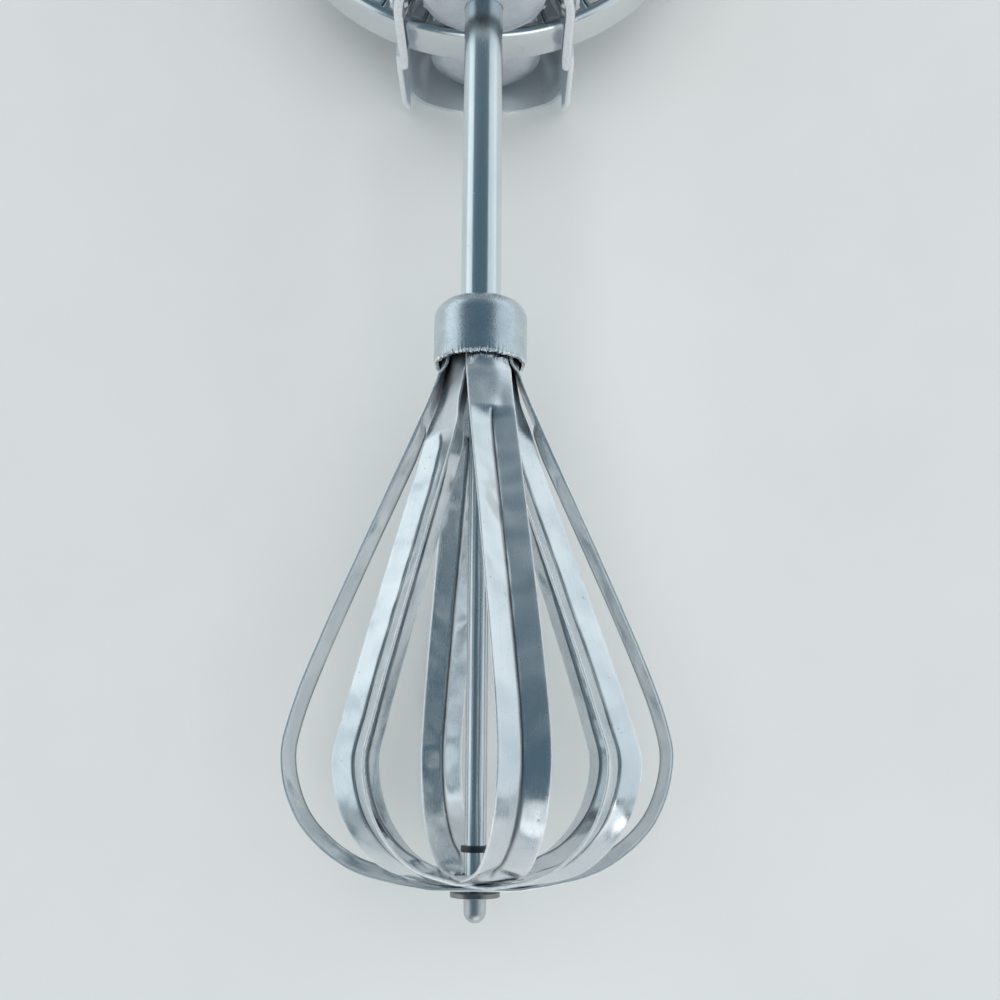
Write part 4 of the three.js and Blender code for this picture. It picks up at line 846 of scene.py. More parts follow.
def cap_surface():
    """The turned wall, whose rim goes up and down by sums of sines of the angle, and in with the nicks.

    The moves fade out with the height above the rim as exp(-(height / RIM_REACH)^2).
    """
    points, quads = turn(cap_profile(), sides=440, closed=True)
    x, y, z = points.T
    a = np.arctan2(x, z)
    near_rim = np.exp(-((y - CAP_RIM_Y) / RIM_REACH) ** 2)
    wave = 0.06 * np.sin(8 * a + 0.6) + 0.06 * np.sin(19 * a + 1.3) + 0.05 * np.sin(41 * a)
    nick = 0.09 * np.sin(67 * a + 2 * np.sin(5 * a)) * np.sin(3 * a + 1)
    nick += 0.07 * np.sin(97 * a + 3 * np.sin(7 * a))
    pull = 1 - near_rim * (0.022 + 0.012 * np.cos(8 * a) + 0.05 * nick)
    return np.stack([x * pull, y + near_rim * (wave + nick), z * pull], axis=-1), quads


make_piece("blade_cap", cap_surface(), satin_cap, "shell")
print("cap: %.1f mm across" % (2 * CAP_RADIUS))

# %% [markdown]
# Parts that are turned about the shaft
#
# The tube is plain and bright. The rod stands still inside it, comes out below, and ends in a rounded tip
# under the washer that the blades rest on. Above, a dished shield keeps the food out of the pinion. These
# parts differ only in their profile and finish, so they are rows of one table. Heights along y are on the
# shaft's ruler; heights along z count from the shaft's axis.

# %% Tube, rod, ring, washer and shield
COLLAR_Y = 141.3
TUBE_LOW_Y = CAP_RIM_Y + 3.6
TUBE_HIGH_Y = 151.8
ROD_RADIUS = 1.6
ROD_LOW_Y, ROD_HIGH_Y = -4.55, 158.15
SHIELD_Y, SHIELD_HOLE = COLLAR_Y + 1.2, 3.32


def dish(radius, rim_y, hole, bulge):
    """Profile of a pressed dish, seen from below: a soft dome and a rolled rim."""
    shares = ((0.3, 0.97), (0.55, 0.82), (0.72, 0.60), (0.85, 0.33))
    dome = [(radius * out, rim_y - bulge * down) for out, down in shares]
    rim = [(radius * 0.95, rim_y - 0.08)] + arc(radius - 0.45, rim_y + 0.45, 0.45, -40, 70, 6)
    return [(hole, rim_y - bulge)] + dome + rim


def build_turned(axis, centre, table):
    """Makes the pieces of a table: node, profile, whether the profile is a closed line, and finish."""
    for node, profile, closed, material in table:
        surface = turn(rounded(profile, closed=closed), axis, centre, sides=96, closed=closed)
        make_piece(node, surface, material)
    print("turned parts:", ", ".join(row[0] for row in table))


rod_profile = [(0, ROD_LOW_Y)] + arc(0, ROD_LOW_Y + ROD_RADIUS, ROD_RADIUS, -80, 0, 10)
rod_profile += [(1.55, ROD_HIGH_Y - 1.55), (1.35, ROD_HIGH_Y), (0, ROD_HIGH_Y)]
shield_back = [(9.9, SHIELD_Y + 1), (SHIELD_HOLE, SHIELD_Y + 1)]
build_turned("y", (0, 0), [
    ("shaft_tube", sleeve(2.625, 3.175, TUBE_LOW_Y, TUBE_HIGH_Y), True, nickel_tube),
    ("centre_rod", rod_profile, False, nickel_rod),
    ("rod_ring", sleeve(ROD_RADIUS, 2.1, 5.1, 6.0), True, dark_steel),
    ("hub_washer", sleeve(1.65, 3.55, -1.0, -0.3), True, worn_steel),
    ("pinion_shield", dish(10.5, SHIELD_Y, SHIELD_HOLE, 2.4) + shield_back, True, satin_disc),
])

# %% [markdown]
# The idler roller
#
# A second dished disc lies behind the wheel's face, so that the wheel can't tip away from the pinion. It
# turns on a spindle with a head, which hangs from a bracket inside the collar.

# %% Idler roller and its spindle
IDLER_Z = -22.4
BRACKET_Y = COLLAR_Y + 11.6
IDLER_HOLE = 1.75
roller_back = [(10.2, COLLAR_Y + 9.4), (10.6, COLLAR_Y + 9.4), (10.6, COLLAR_Y + 11.0),
               (5.4, COLLAR_Y + 11.0), (5.4, COLLAR_Y + 11.3), (IDLER_HOLE, COLLAR_Y + 11.3)]
spindle = [(0, COLLAR_Y + 0.75), (2.3, COLLAR_Y + 0.75), (2.9, COLLAR_Y + 1.45), (1.6, COLLAR_Y + 1.45),
           (1.6, BRACKET_Y + 1.3)] + head(2.9, 0.7, BRACKET_Y + 1.3)
build_turned("y", (0, IDLER_Z), [
    ("idler_roller", dish(10.2, COLLAR_Y + 4.4, IDLER_HOLE, 2.7) + roller_back, True, satin_disc),
    ("idler_spindle", spindle, False, plain_steel),
])

# %% [markdown]
# The rivets in the hub
#
# Two small rivets hold the stack of strips together. Each has a low head with a dimple where the riveting
# tool pressed it.

# %% Hub rivets
HUB_RIVET_RADIUS, HUB_RIVET_AZIMUTH = 2.9, radians(60)
STACK_TOP_Y = 0.50 + 3 * STACK_PITCH
rivet_x, rivet_z = HUB_RIVET_RADIUS * sin(HUB_RIVET_AZIMUTH), HUB_RIVET_RADIUS * cos(HUB_RIVET_AZIMUTH)
rivet_head = [(1.25, 0), (1.22, 0.22), (0.9, 0.45), (0.5, 0.42), (0.3, 0.22), (0, 0.16)]
rivet_profile = [(0, 0.1), (0.5, 0.1), (0.5, STACK_TOP_Y)] + [(r, STACK_TOP_Y + up) for r, up in rivet_head]
for number, side in ((1, 1), (2, -1)):
    surface = turn(rounded(rivet_profile, 0.06), centre=(side * rivet_x, side * rivet_z), sides=40)
    make_piece("hub_rivet_%d" % number, surface, rivet_steel)
print("top of the stack of strips at y =", STACK_TOP_Y)

# %% [markdown]
# The wheel's slots
#
# The wheel is a pan stamped from sheet, with sixty slots in its face that take the pinion's teeth. One slot
# with the metal round it is a patch: its inner line is the slot, a rectangle with round corners, and its
# outer line is the edge of a six-degree sector. The points between them are a plain blend of the two lines.

# %% One slot and its sector
WHEEL_TEETH = 60
WHEEL_RADIUS = 41.3
RING_INNER, RING_OUTER = 32.6, 40.0
SLOT_INNER, SLOT_OUTER, SLOT_WIDTH = 33.8, 39.5, 2.45
SLOT_CORNER = 0.55
CORNER_POINTS = 4


def slot_outline():
    """A rectangle with round corners, as rows of (distance from the wheel's centre, sideways)."""
    half = SLOT_WIDTH / 2 - SLOT_CORNER
    corners = [(SLOT_OUTER - SLOT_CORNER, half, 0), (SLOT_INNER + SLOT_CORNER, half, 90),
               (SLOT_INNER + SLOT_CORNER, -half, 180), (SLOT_OUTER - SLOT_CORNER, -half, 270)]
    return np.array([point for r, s, start in corners
                     for point in arc(r, s, SLOT_CORNER, start, start + 90, CORNER_POINTS - 1)])


def sector_outline(outline):
    """The sector's edge, point for point opposite the slot's: straight out from the slot's middle.

    Along a direction (r, s), the ring's inner or outer line is (line - middle) / r away, and the sector's
    side, at the slant tan(half angle), is slant * middle / (s - slant * r) away. The nearer of the two is
    the edge.
    """
    middle = (SLOT_INNER + SLOT_OUTER) / 2
    out = outline - (middle, 0)
    r, s = (out / np.linalg.norm(out, axis=1)[:, None]).T
    to_ring = (np.where(r > 0, RING_OUTER, RING_INNER) - middle) / r
    slant = np.tan(pi / WHEEL_TEETH) * np.where(s > 0, 1, -1)
    to_side = slant * middle / (s - slant * r)
    reach = np.minimum(to_ring, np.where(to_side > 0, to_side, np.inf))
    return np.stack([middle + reach * r, reach * s], axis=-1)


print("points round one slot:", len(slot_outline()))

# %% [markdown]
# The wheel's surfaces
#
# Sixty turned copies of the patch make the slotted ring, with the slot's edges dropped a little so that
# they look stamped. The rest of the pan is turned like any other round part: outside the ring the rounded
# shoulder and the skirt, inside it the disc with a pressed bead that stiffens it. The three surfaces meet
# at the ring's inner and outer radius.

# %% Slotted ring, skirt and disc
WHEEL_Y = 183.8
PLATE_FRONT, PLATE_REAR = -10.7, -11.5
WHEEL_SHEET = PLATE_FRONT - PLATE_REAR
AXLE_HOLE = 3.1
SHOULDER = 1.7
SKIRT_DEPTH = 7.7
PATCH = np.array([(0, 0.16), (0.04, 0.03), (0.16, 0), (1, 0)])    # share of the way to the edge, drop


def slotted_ring():
    """Points and faces of the ring: the patch's front, the slot's wall and the patch's back, sixty times.

    A copy is (out cos a - side sin a, out sin a + side cos a).
    """
    slot = slot_outline()
    share, drop = PATCH.T[:, :, None]
    patch = mix(slot, sector_outline(slot), share[:, :, None])
    front = np.dstack([patch, np.broadcast_to(PLATE_FRONT - drop, patch.shape[:2])])
    back = np.dstack([patch, np.broadcast_to(PLATE_REAR + drop, patch.shape[:2])])
    rings = np.concatenate([front[::-1], back])
    out, side, z = rings.reshape(-1, 3).T
    a = (np.arange(WHEEL_TEETH) * 2 * pi / WHEEL_TEETH - pi / 2)[:, None]
    x, y = out * np.cos(a) - side * np.sin(a), out * np.sin(a) + side * np.cos(a)
    points = np.stack([x, y + WHEEL_Y, np.broadcast_to(z, x.shape)], axis=-1)
    faces = grid_quads(*rings.shape[:2])[None] + (np.arange(WHEEL_TEETH) * out.size)[:, None, None]
    return points.reshape(-1, 3), faces.reshape(-1, 4)


def skirt_profile():
    """From the ring's front edge over the shoulder, down the skirt and back to the ring's rear edge."""
    shoulder = (WHEEL_RADIUS - SHOULDER, PLATE_FRONT - SHOULDER)
    inner = WHEEL_RADIUS - WHEEL_SHEET
    bend_y, end_y = PLATE_FRONT - 4, PLATE_FRONT - SKIRT_DEPTH
    outside = arc(*shoulder, SHOULDER, 76, 0, 9) + [(WHEEL_RADIUS, bend_y), (WHEEL_RADIUS, end_y)]
    inside = [(inner, end_y), (inner, bend_y)] + arc(*shoulder, SHOULDER - WHEEL_SHEET, 0, 64, 6)
    pan_edge = rounded(outside + inside, 0.2)
    return np.vstack([[(RING_OUTER, PLATE_FRONT)], pan_edge, [(RING_OUTER, PLATE_REAR)]])


def bead(level, radius=24, height=0.9, half=2.6):
    """The pressed ring that stiffens the disc: a smooth hump, (1 + cos) / 2 high."""
    return [(radius + half * x, level + height * (1 + cos(pi * x)) / 2) for x in np.linspace(-1, 1, 13)]


def joined(*surfaces):
    """Several surfaces as one: the corner numbers of each count on from the points before it."""
    starts = np.cumsum([0] + [len(points) for points, _ in surfaces])
    faces = [quads + start for (_, quads), start in zip(surfaces, starts)]
    return np.vstack([points for points, _ in surfaces]), np.vstack(faces)


disc_profile = ([(RING_INNER, PLATE_REAR)] + bead(PLATE_REAR)[::-1] + [(AXLE_HOLE, PLATE_REAR)]
                + [(AXLE_HOLE, PLATE_FRONT)] + bead(PLATE_FRONT) + [(RING_INNER, PLATE_FRONT)])
skirt = turn(skirt_profile(), "z", (0, WHEEL_Y), sides=240)
disc = turn(disc_profile, "z", (0, WHEEL_Y), sides=120)
wheel = joined(slotted_ring(), skirt, disc)
make_piece("drive_wheel", wheel, nickel_wheel)
print("wheel:", WHEEL_TEETH, "slots,", len(wheel[1]), "faces")

# %% [markdown]
# The wheel's hub, axle and bushes
#
# Two flanged tubes are riveted to the wheel, and the axle runs through them and through a bush in each half
# of the frame. The front end of the axle is peened over the crank. All of these turn about z, so they are a
# second table.

# %% Turned parts on the axle
FRONT_FACE, REAR_FACE = 14.4, -35.2
FRONT_BUSH_END = FRONT_FACE - 0.9 - 0.8
REAR_BUSH_END = REAR_FACE + 0.9 + 0.8
CRANK_Z = FRONT_FACE + 0.8 + 0.3 + 0.7
CRANK_TOP = CRANK_Z + 2
RIVET_RING = 7.3


def hub(plate, out, end):
    """Closed profile of a flanged tube on the wheel's plate; `out` is 1 for the front and -1 for the rear."""
    flange = [(AXLE_HOLE, plate), (9.6, plate), (9.6, plate + 1.1 * out)]
    return flange + [(5.9, plate + 1.2 * out), (5.2, plate + 1.9 * out), (5.2, end), (AXLE_HOLE, end)]


axle = [(0, REAR_FACE + 0.1), (2.7, REAR_FACE + 0.1), (3.0, REAR_FACE + 0.4), (3.0, CRANK_TOP)]
front_bush = [(3.15, FRONT_BUSH_END), (4.55, FRONT_BUSH_END), (4.55, FRONT_FACE + 0.1),
              (5.8, FRONT_FACE + 0.1), (5.8, FRONT_FACE + 0.8), (3.15, FRONT_FACE + 0.8)]
rear_bush = [(3.15, REAR_FACE + 0.1), (4.55, REAR_FACE + 0.1), (4.55, REAR_FACE + 1.0),
             (5.8, REAR_FACE + 1.0), (5.8, REAR_BUSH_END), (3.15, REAR_BUSH_END)]
build_turned("z", (0, WHEEL_Y), [
    ("wheel_hub_front", hub(PLATE_FRONT, 1, FRONT_BUSH_END - 0.3), True, plain_steel),
    ("wheel_hub_rear", hub(PLATE_REAR, -1, REAR_BUSH_END + 0.3), True, plain_steel),
    ("wheel_axle", axle + head(4.6, 1.3, CRANK_TOP), False, plain_steel),
    ("axle_bush_front", front_bush, True, plain_steel),
    ("axle_bush_rear", rear_bush, True, plain_steel),
])
plate_rivet = [(0, PLATE_REAR - 1.9), (1.2, PLATE_REAR - 1.75), (1.7, PLATE_REAR - 1.1),
               (0.9, PLATE_REAR - 1.1), (0.9, PLATE_FRONT + 1.1)] + head(1.7, 0.8, PLATE_FRONT + 1.1)
for k in range(3):
    a = pi / 2 + k * 2 * pi / 3
    rivet_at = (RIVET_RING * cos(a), WHEEL_Y + RIVET_RING * sin(a))
    build_turned("z", rivet_at, [("wheel_rivet_%d" % (k + 1), plate_rivet, False, rivet_steel)])

# %% [markdown]
# The frame's section
#
# Two pressed halves hold everything. Each is a sheet section carried along the shaft: an arch with two legs
# at the collar, then a flanged strap beside the wheel, then a flat tang that goes into the handle. The
# section here is the CAD model's with many more points.

# %% Section of the frame
SHEET = 0.9
CHEEK_END, STRAP_Y, STRAP_END = COLLAR_Y + 8.6, COLLAR_Y + 21.6, 218.7
TANG_Y = STRAP_END + 21
HANDLE_Z = (FRONT_FACE + REAR_FACE) / 2
ARCH_POWER = 2 / 1.85
ARCH_HEIGHT = 18.4
ARCH_STEPS, LEG_STEPS = 20, 6
FLANGE = 4.4
COLLAR_CORNER, STRAP_CORNER, TANG_CORNER = 4.5, 2.2, 0.95
TANG_HALF = 5.6


def section(y, side, half, strap_half, leg, square):
    """The outer and the inner line of the sheet at height y, as rows of (x, z) with z away from the shaft.

    The top is a superellipse, x = -h sign(c) |c|^p and z = spring + a s^p with c and s the cosine and sine,
    blended into a flat with round corners.
    """
    taper = float(ramp(y, CHEEK_END, STRAP_Y))
    squareness = mix(square, 1, float(ramp(y, CHEEK_END - 3.25, CHEEK_END + 3.25)))
    bend = float(ramp(y, STRAP_END, TANG_Y))
    face = mix(FRONT_FACE if side > 0 else -REAR_FACE, side * HANDLE_Z + 0.2 + SHEET, bend)
    flange = mix(FLANGE, TANG_CORNER + 0.1, bend)
    wide = mix(mix(half, strap_half, taper), TANG_HALF, bend)
    corner = mix(mix(COLLAR_CORNER, STRAP_CORNER, taper), TANG_CORNER, bend)
    leg_end = mix(leg, face - flange, taper)
    step = np.arange(-ARCH_STEPS, ARCH_STEPS + 1)
    c, s = -np.sin(pi / 2 * step / ARCH_STEPS), np.cos(pi / 2 * step / ARCH_STEPS)
    share = np.abs(step) / ARCH_STEPS
    bent = pi / 2 * np.minimum((1 - share) / 0.8, 1)
    lines = []
    for inset in (0.0, SHEET):
        arch_x = -(wide - inset) * np.sign(c) * np.abs(c) ** ARCH_POWER
        arch_z = face - ARCH_HEIGHT + (ARCH_HEIGHT - inset) * np.clip(s, 0, 1) ** ARCH_POWER
        flat_half = (wide - corner) * np.clip(share / 0.2, 0, 1) + (corner - inset) * np.cos(bent)
        flat_x = np.sign(step) * flat_half
        flat_z = face - corner + (corner - inset) * np.sin(bent)
        top = np.stack([mix(arch_x, flat_x, squareness), mix(arch_z, flat_z, squareness)], axis=-1)
        rise = mix(leg_end, top[0, 1], np.arange(LEG_STEPS) / LEG_STEPS)
        left = np.stack([np.full(LEG_STEPS, inset - wide), rise], axis=-1)
        lines.append(np.vstack([left, top, (left * (-1, 1))[::-1]]))
    return lines


print("places along the section:", len(section(COLLAR_Y, 1, 16, 10, -19, 0)[0]))

# %% [markdown]
# Carrying the section along the shaft
#
# The rows lie close together where the section changes. At the collar the sheet's end is rounded over,
# because a bright line runs along it; the finish also lightens that end with a painted highlight. There the
# front half has a folded hem and stands in a little, and the rear half's cheeks flare out with depth and have
# their lower corners cut.

# %% One half of the frame
END_ROUND = 0.45           # height over which the sheet's end is rounded
LOW_END = (0.8, 5.0)       # heights above the collar's edge between which hem, flare and cut fade out
HALF_ROWS = np.concatenate([
    COLLAR_Y + np.array([0, 0.05, 0.16, 0.34, 0.6]), np.linspace(COLLAR_Y + 1.6, CHEEK_END, 6),
    np.linspace(CHEEK_END, STRAP_Y, 22)[1:], np.linspace(STRAP_Y, STRAP_END, 8)[1:],
    np.linspace(STRAP_END, TANG_Y, 28)[1:], [TANG_Y + 15, TANG_Y + 30]])


def half_frame(side, half, strap_half, leg, square, hem=0.0, corner_cut=0.0, flare=0.0, pinch=0.0):
    """Points and faces of one half: closed sections along y, thinned towards the end by a quarter circle.

    At the lower end the sheet is thicker by `hem` on its inside, the cheeks stand in by the share `pinch`
    and flare out with depth by the share `flare`, and the legs are shorter by `corner_cut`.
    """
    rows = []
    for y in HALF_ROWS:
        up = y - COLLAR_Y
        low_end = 1 - float(ramp(up, *LOW_END))
        outer, inner = section(y, side, half, strap_half, leg + corner_cut * low_end, square)
        thin = sqrt(max(1 - (max(END_ROUND - up, 0) / END_ROUND) ** 2, 0.10))
        fold = 2 * hem / SHEET * thin * (1 - float(ramp(up, 0.8, 2.4)))
        middle, arm = (outer + inner) / 2, (outer - inner) / 2 * thin
        arm[[0, -1]] *= 0.8
        ring = np.vstack([middle + arm, (middle - arm * (1 + fold))[::-1]])
        spread = 1 + (flare * ramp(5 - side * ring[:, 1], 0, 25) - pinch) * low_end
        rows.append(np.stack([ring[:, 0] * spread, np.full(len(ring), y), side * ring[:, 1]], axis=-1))
    return capped(np.array(rows))


print("rows along a half:", len(HALF_ROWS))

# %% [markdown]
# Cutting the frame
#
# Three cuts finish the two halves: the room that the wheel turns in, the hole for the bush, and in the rear
# half the curved lower edge of its wall.

# %% Cut the two halves
COLLAR_HALF = 15.9
REAR_HALF = COLLAR_HALF - SHEET - 0.1
TONGUE_HALF, TONGUE_RISE = 14.7, 3.4


def below_tongue():
    """What is cut from the rear wall: all that is under y = edge + rise |u|^1.9, lowest in the middle."""
    u = np.linspace(-1, 1, 33)
    curve = np.stack([TONGUE_HALF * u, COLLAR_Y + TONGUE_RISE * np.abs(u) ** 1.9], axis=-1)
    floor_line = np.stack([TONGUE_HALF * u, np.full(33, COLLAR_Y - 2)], axis=-1)
    ring = np.vstack([curve, floor_line[::-1]])
    return capped(np.array([np.insert(ring, 2, z, axis=1) for z in (REAR_FACE - 2, REAR_FACE + 4.5)]))


wheel_room = cylinder("z", (0, WHEEL_Y), WHEEL_RADIUS + 0.6, PLATE_FRONT - 8.3, PLATE_FRONT + 0.6, 160)
bush_hole = cylinder("z", (0, WHEEL_Y), 4.65, REAR_FACE - 3, FRONT_FACE + 3)
front_half = half_frame(1, COLLAR_HALF, 10.0, leg=-19.5, square=0.0, hem=0.65, pinch=0.03)
rear_half = half_frame(-1, REAR_HALF, 9.0, leg=5.0, square=1.0, corner_cut=10.5, flare=0.085)
front_mesh = cut(solid(*front_half), [wheel_room, bush_hole])
rear_mesh = cut(solid(*rear_half), [below_tongue(), wheel_room, bush_hole])
finish_piece("front_frame", front_mesh, nickel_frame)
finish_piece("rear_frame", rear_mesh, nickel_wall)
print("frame halves:", len(front_mesh.polygons), "and", len(rear_mesh.polygons), "faces")

# %% [markdown]
# The crank
#
# The arm is a flat bar with an eye at each end. Its outline is a half width along its length, w(s), and its
# section is a rectangle with rounded edges, so it is one more section carried along a path.

# %% Crank arm
CRANK_ANGLE, CRANK_LENGTH = radians(60), 34.0
KNOB_AT = (CRANK_LENGTH * cos(CRANK_ANGLE), WHEEL_Y + CRANK_LENGTH * sin(CRANK_ANGLE))
AXLE_EYE, KNOB_EYE = 7.0, 5.0
BAR_HALF = 3.1
BAR_EDGE = 0.35


def crank_surface():
    """The arm: s along it, and across it a rounded rectangle of half width w(s) and half thickness 1.

    w is the largest of the two eyes' circles, sqrt(R^2 - s^2), and the bar, which widens towards its ends.
    """
    quarter = np.linspace(0, pi / 2, 15)
    s = np.concatenate([-AXLE_EYE * np.cos(quarter), np.linspace(0.8, CRANK_LENGTH - 0.8, 44),
                        CRANK_LENGTH + KNOB_EYE * np.sin(quarter)])
    axle_eye = np.sqrt(np.clip(AXLE_EYE ** 2 - s ** 2, 0, None))
    knob_eye = np.sqrt(np.clip(KNOB_EYE ** 2 - (s - CRANK_LENGTH) ** 2, 0, None))
    bar = BAR_HALF + 2.6 * np.exp(-((s - 3) / 5.0) ** 2) + 0.7 * np.exp(-((s - CRANK_LENGTH) / 4.0) ** 2)
    w = np.maximum(np.maximum(axle_eye, knob_eye), np.where((s > 0) & (s < CRANK_LENGTH), bar, 0))[:, None]
    a = np.radians(np.concatenate([np.linspace(-90, 90, 7), np.linspace(90, 270, 7)]))
    right_or_left = np.where(np.arange(14) < 8, 1, -1)
    x = right_or_left * np.clip(w - BAR_EDGE, 0, None) + np.minimum(BAR_EDGE, w) * np.cos(a)
    z = np.where(np.sin(a) > 0, 1, -1) * (1 - BAR_EDGE) + BAR_EDGE * np.sin(a)
    z = np.broadcast_to(np.where(np.abs(np.sin(a)) < 1e-9, 0, z), x.shape)
    c, q = cos(CRANK_ANGLE), sin(CRANK_ANGLE)
    s = s[:, None]
    return capped(np.stack([s * c - x * q, WHEEL_Y + s * q + x * c, CRANK_Z + 1 + z], axis=-1))


eye_holes = [cylinder("z", at, radius, CRANK_Z - 2, CRANK_Z + 4)
             for at, radius in (((0, WHEEL_Y), AXLE_HOLE), (KNOB_AT, 1.9))]
crank_mesh = cut(solid(*crank_surface()), eye_holes)
finish_piece("crank_arm", crank_mesh, nickel_crank)
print("crank arm:", len(crank_mesh.polygons), "faces")

# %% [markdown]
# The knob
#
# The knob is turned wood on a steel pin, and it spins on the pin while the hand goes round. It is
# pear-shaped, with a small foot on the crank. The pin's head is peened over its top.

# %% Knob and pin
KNOB_LOW, KNOB_LENGTH = CRANK_TOP + 0.3, 27
KNOB_SHAPE = [(0, 4.97), (0.05, 5.4), (0.12, 5.18), (0.17, 5.5), (0.22, 6.2), (0.32, 7.4), (0.42, 8.1),
              (0.52, 8.5), (0.62, 8.6), (0.72, 8.4), (0.80, 7.99), (0.88, 7.1), (0.93, 6.21), (0.97, 5.3),
              (1, 4.32)]
PIN_TOP = KNOB_LOW + KNOB_LENGTH + 0.3
knob_line = smooth_curve([(r, KNOB_LOW + KNOB_LENGTH * u) for u, r in KNOB_SHAPE], 5)
knob_profile = np.vstack([[(1.95, KNOB_LOW)], knob_line, [(1.95, KNOB_LOW + KNOB_LENGTH)]])
make_piece("crank_knob", turn(knob_profile, "z", KNOB_AT, sides=96, closed=True), lacquer_knob)
pin_foot = [(0, CRANK_Z - 0.7), (3.0, CRANK_Z - 0.7), (3.2, CRANK_Z - 0.5), (3.2, CRANK_Z), (1.8, CRANK_Z)]
pin_profile = pin_foot + [(1.8, PIN_TOP)] + head(3.2, 1.6, PIN_TOP)
build_turned("z", KNOB_AT, [("knob_pin", pin_profile, False, plain_steel)])

# %% [markdown]
# The handle
#
# The grip is turned so that it swells where the palm closes and narrows before the end. A plated ferrule
# keeps the wood from splitting where the tangs go in, and one pin through ferrule, wood and tangs holds it
# all.

# %% Grip and ferrule
FERRULE_Y = 239.7
GRIP_Y, GRIP_LENGTH = FERRULE_Y + 0.8, 74
GRIP_SHAPE = [(0.180, 10.3), (0.20, 11.6), (0.24, 12.7), (0.30, 13.15), (0.42, 13.4), (0.52, 13.1),
              (0.62, 12.4), (0.76, 12.05), (0.84, 12.5), (0.90, 12.9), (0.95, 12.4), (0.985, 10.7),
              (1.0, 8.0)]
FERRULE_SHAPE = [(0, 0), (7.7, 0), (8.4, 0.7), (9.5, 7.6), (9.75, 8.0), (10.1, 10.8), (10.6, 12.4),
                 (10.6, 13.0), (9.9, 13.0), (7.7, 0.7), (0, 0.7)]
grip_start = [(0, GRIP_Y), (7.2, GRIP_Y + 0.1), (9.3, FERRULE_Y + 13.0), (9.3, FERRULE_Y + 13.3)]
grip_line = smooth_curve([(r, GRIP_Y + GRIP_LENGTH * u) for u, r in GRIP_SHAPE], 7)
grip_profile = np.vstack([grip_start, grip_line, [(0, GRIP_Y + GRIP_LENGTH)]])
ferrule_profile = rounded([(r, FERRULE_Y + up) for r, up in FERRULE_SHAPE], 0.3)
tang_slot = capped(np.array([[(x, y, z + HANDLE_Z) for x, z in ((-5.9, -2), (5.9, -2), (5.9, 2), (-5.9, 2))]
                             for y in (FERRULE_Y - 2, FERRULE_Y + 30.3)]))
for node, profile, material in (("handle_grip", grip_profile, lacquer_grip),
                                ("handle_ferrule", ferrule_profile, nickel_crank)):
    mesh = cut(solid(*turn(profile, "y", (0, HANDLE_Z), sides=120)), [tang_slot])
    finish_piece(node, mesh, material)
    print(node, "has", len(mesh.polygons), "faces")

# %% [markdown]
# Finishes for the parts that the CAD model gives as they are
#
# Brackets, nut, pinion and the remaining rivets keep their own mesh. Only their material slot is filled.

# %% Finish the carried parts
CARRIED = [
    (plain_steel, ["rod_bracket", "idler_bracket", "rod_nut", "drive_pinion"]),
    (dark_steel, ["blade_core", "tube_bush"]),
    (rivet_steel, ["ferrule_pin", "frame_rivet_left", "frame_rivet_right", "rod_bracket_rivet_1",
                   "rod_bracket_rivet_2", "idler_bracket_rivet_1", "idler_bracket_rivet_2"]),
]
for material, nodes in CARRIED:
    for node in nodes:
        slots = frame["nodes"][node].data.materials
        slots.clear()
        slots.append(material)
    print(material.name, "on", len(nodes), "carried parts")

# %% [markdown]
# The floor
#
# The beater lies on a plain pale floor, so that nothing draws the eye away from the metal. A faint mottle
# keeps the floor from looking like a screen.

# %% Floor
FLOOR_HALF = 6.0
n = new_finish("pale_floor")
mottle = n.noise(n.coordinates(), scale=0.03, detail=3.0, roughness=0.5)
pale = n.blend(n.band(mottle, 0.35, 0.65), (0.87, 0.865, 0.85), (0.85, 0.845, 0.83))
mesh = bpy.data.meshes.new("floor")
mesh.from_pydata([(FLOOR_HALF * x, FLOOR_HALF * y, 0) for x, y in ((-1, -1), (1, -1), (1, 1), (-1, 1))], [],
                 [(0, 1, 2, 3)])
mesh.materials.append(n.finish(base_color=pale, roughness=0.8))
floor = bpy.data.objects.new("floor", mesh)
bpy.context.scene.collection.objects.link(floor)
print("floor: %.0f m across" % (2 * FLOOR_HALF))

# %% [markdown]
# The lamps
#
# Polished metal looks like the room around it. Two long windows lie parallel to the shaft, left and right:
# they put the bright lines on both sides of the tube and leave its middle dark. A small window in front
# shows in the lower ends of the strips. A soft ceiling lamp lights the floor, the wood and the dull steel
# evenly; the metal doesn't mirror it, so the tube keeps its dark middle. The camera doesn't see the lamps
# themselves.

# %% Lamps
def window(name, at, size, power, colour, towards=(0, None, 0.03)):
    """A soft rectangular lamp: `size` is its length along the floor and its height.

    It faces the place `towards`; with no y there, it stays parallel to the shaft.
    """
    lamp = bpy.data.lights.new(name, "AREA")
    lamp.shape, lamp.size, lamp.size_y = "RECTANGLE", size[0], size[1]
    lamp.energy, lamp.color = power, colour
    holder = bpy.data.objects.new(name, lamp)
    holder.location = at
    holder.visible_camera = False
    target = Vector([own if wanted is None else wanted for own, wanted in zip(at, towards)])
    holder.rotation_euler = (target - Vector(at)).to_track_quat("-Z", "Y").to_euler()
    bpy.context.scene.collection.objects.link(holder)
    return holder


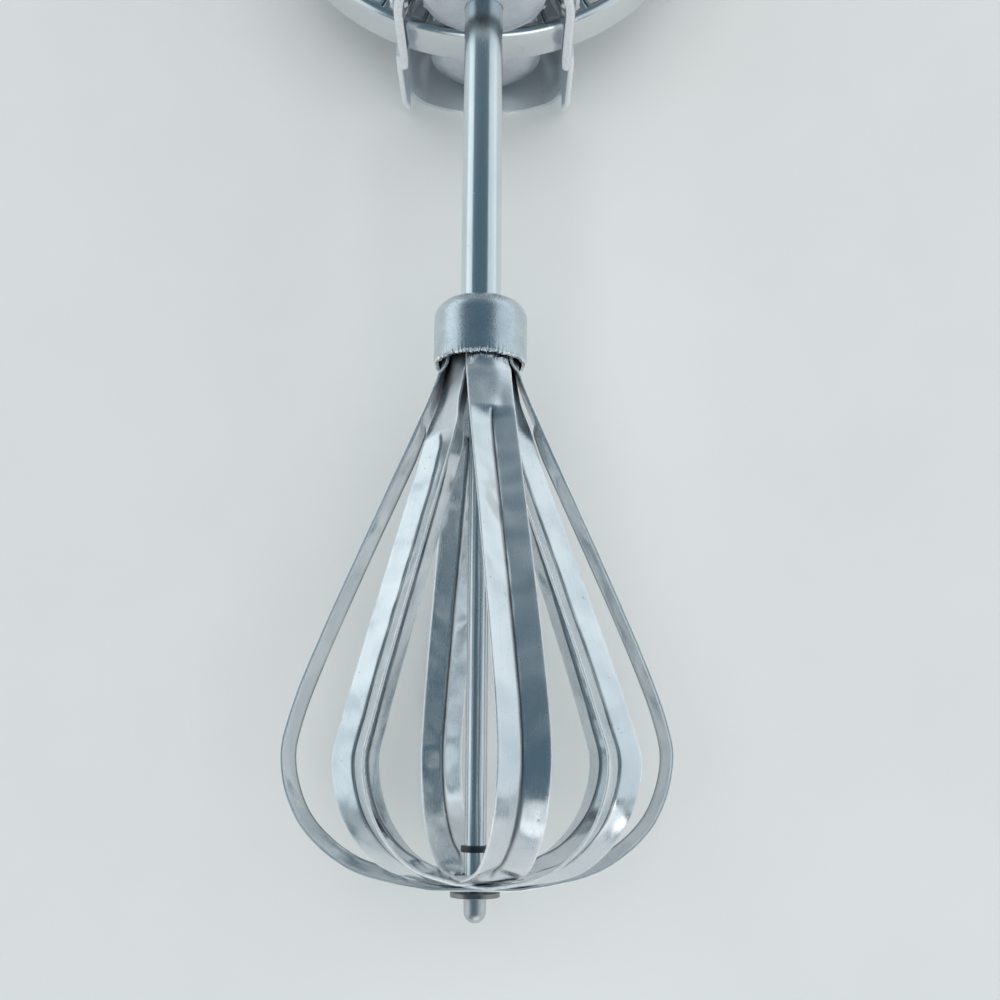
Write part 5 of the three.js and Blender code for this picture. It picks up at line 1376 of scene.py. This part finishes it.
window("window_left", (-1.30, 0.45, 0.46), (3.2, 0.95), 7.2, (0.92, 0.985, 1.0))
window("window_right", (1.05, 0.55, 0.50), (3.2, 1.25), 7.4, (0.92, 0.975, 1.0))
window("window_front", (0.35, -1.60, 0.60), (1.6, 0.80), 6.0, (1.0, 0.99, 0.97), (0, -0.08, 0.03))
ceiling = window("ceiling", (0.1, -0.08, 2.0), (2.4, 2.0), 25.0, (1.0, 0.97, 0.935), (0.1, -0.08, 0))
ceiling.visible_glossy = False
print("lamps:", sorted(lamp.name for lamp in bpy.data.lights))

# %% [markdown]
# The room
#
# What the metal mirrors between the windows is the room: lighter near the floor and beyond the handle,
# darker overhead and on the whisk's side. The world's colour is therefore a ramp over the direction's
# height less a share of how far it points towards the handle.

# %% Room
ROOM_TONES = [(0.02, (0.36, 0.42, 0.45)), (0.30, (0.20, 0.26, 0.30)), (0.75, (0.10, 0.16, 0.20))]
HANDLE_SHARE = -0.3
world = bpy.data.worlds.new("room")
bpy.context.scene.world = world
n = Nodes(world)
direction = n.axes("Generated")
parts = {0: direction["Y"], 1: HANDLE_SHARE, 2: direction["Z"]}
height = n.add("ShaderNodeMath", parts, operation="MULTIPLY_ADD")
tones = n.add("ShaderNodeValToRGB", {0: height.outputs[0]})
stops = tones.color_ramp.elements
stops[0].position, stops[1].position = ROOM_TONES[0][0], ROOM_TONES[-1][0]
stops.new(ROOM_TONES[1][0])
for stop, (_, tone) in zip(stops, ROOM_TONES):
    stop.color = (*tone, 1)
n.fill(n.tree.nodes["Background"].inputs[0], tones.outputs[0])
print("room tones:", len(stops))

# %% [markdown]
# The camera
#
# The camera looks down on the whisk from in front of the shaft's middle, tilted towards the handle and
# rolled by a third of a degree, as in the photograph. Its lens gives the photograph's perspective.

# %% Camera
CAMERA_PLACE = (3.2, 18.3, 175)    # on the shaft's ruler
CAMERA_TILT, CAMERA_ROLL = radians(12.3), radians(0.36)
camera = bpy.data.cameras.new("camera")
camera.lens, camera.sensor_width = 42.48, 36.0
holder = bpy.data.objects.new("camera", camera)
holder.location = place(CAMERA_PLACE)
aim = Matrix.Rotation(CAMERA_TILT, 3, "X") @ Matrix.Rotation(CAMERA_ROLL, 3, "Z")
holder.rotation_euler = aim.to_euler()
bpy.context.scene.collection.objects.link(holder)
bpy.context.scene.camera = holder
bpy.context.scene.view_settings.view_transform = "Standard"
print("camera at", [round(c, 4) for c in holder.location])

# %% [markdown]
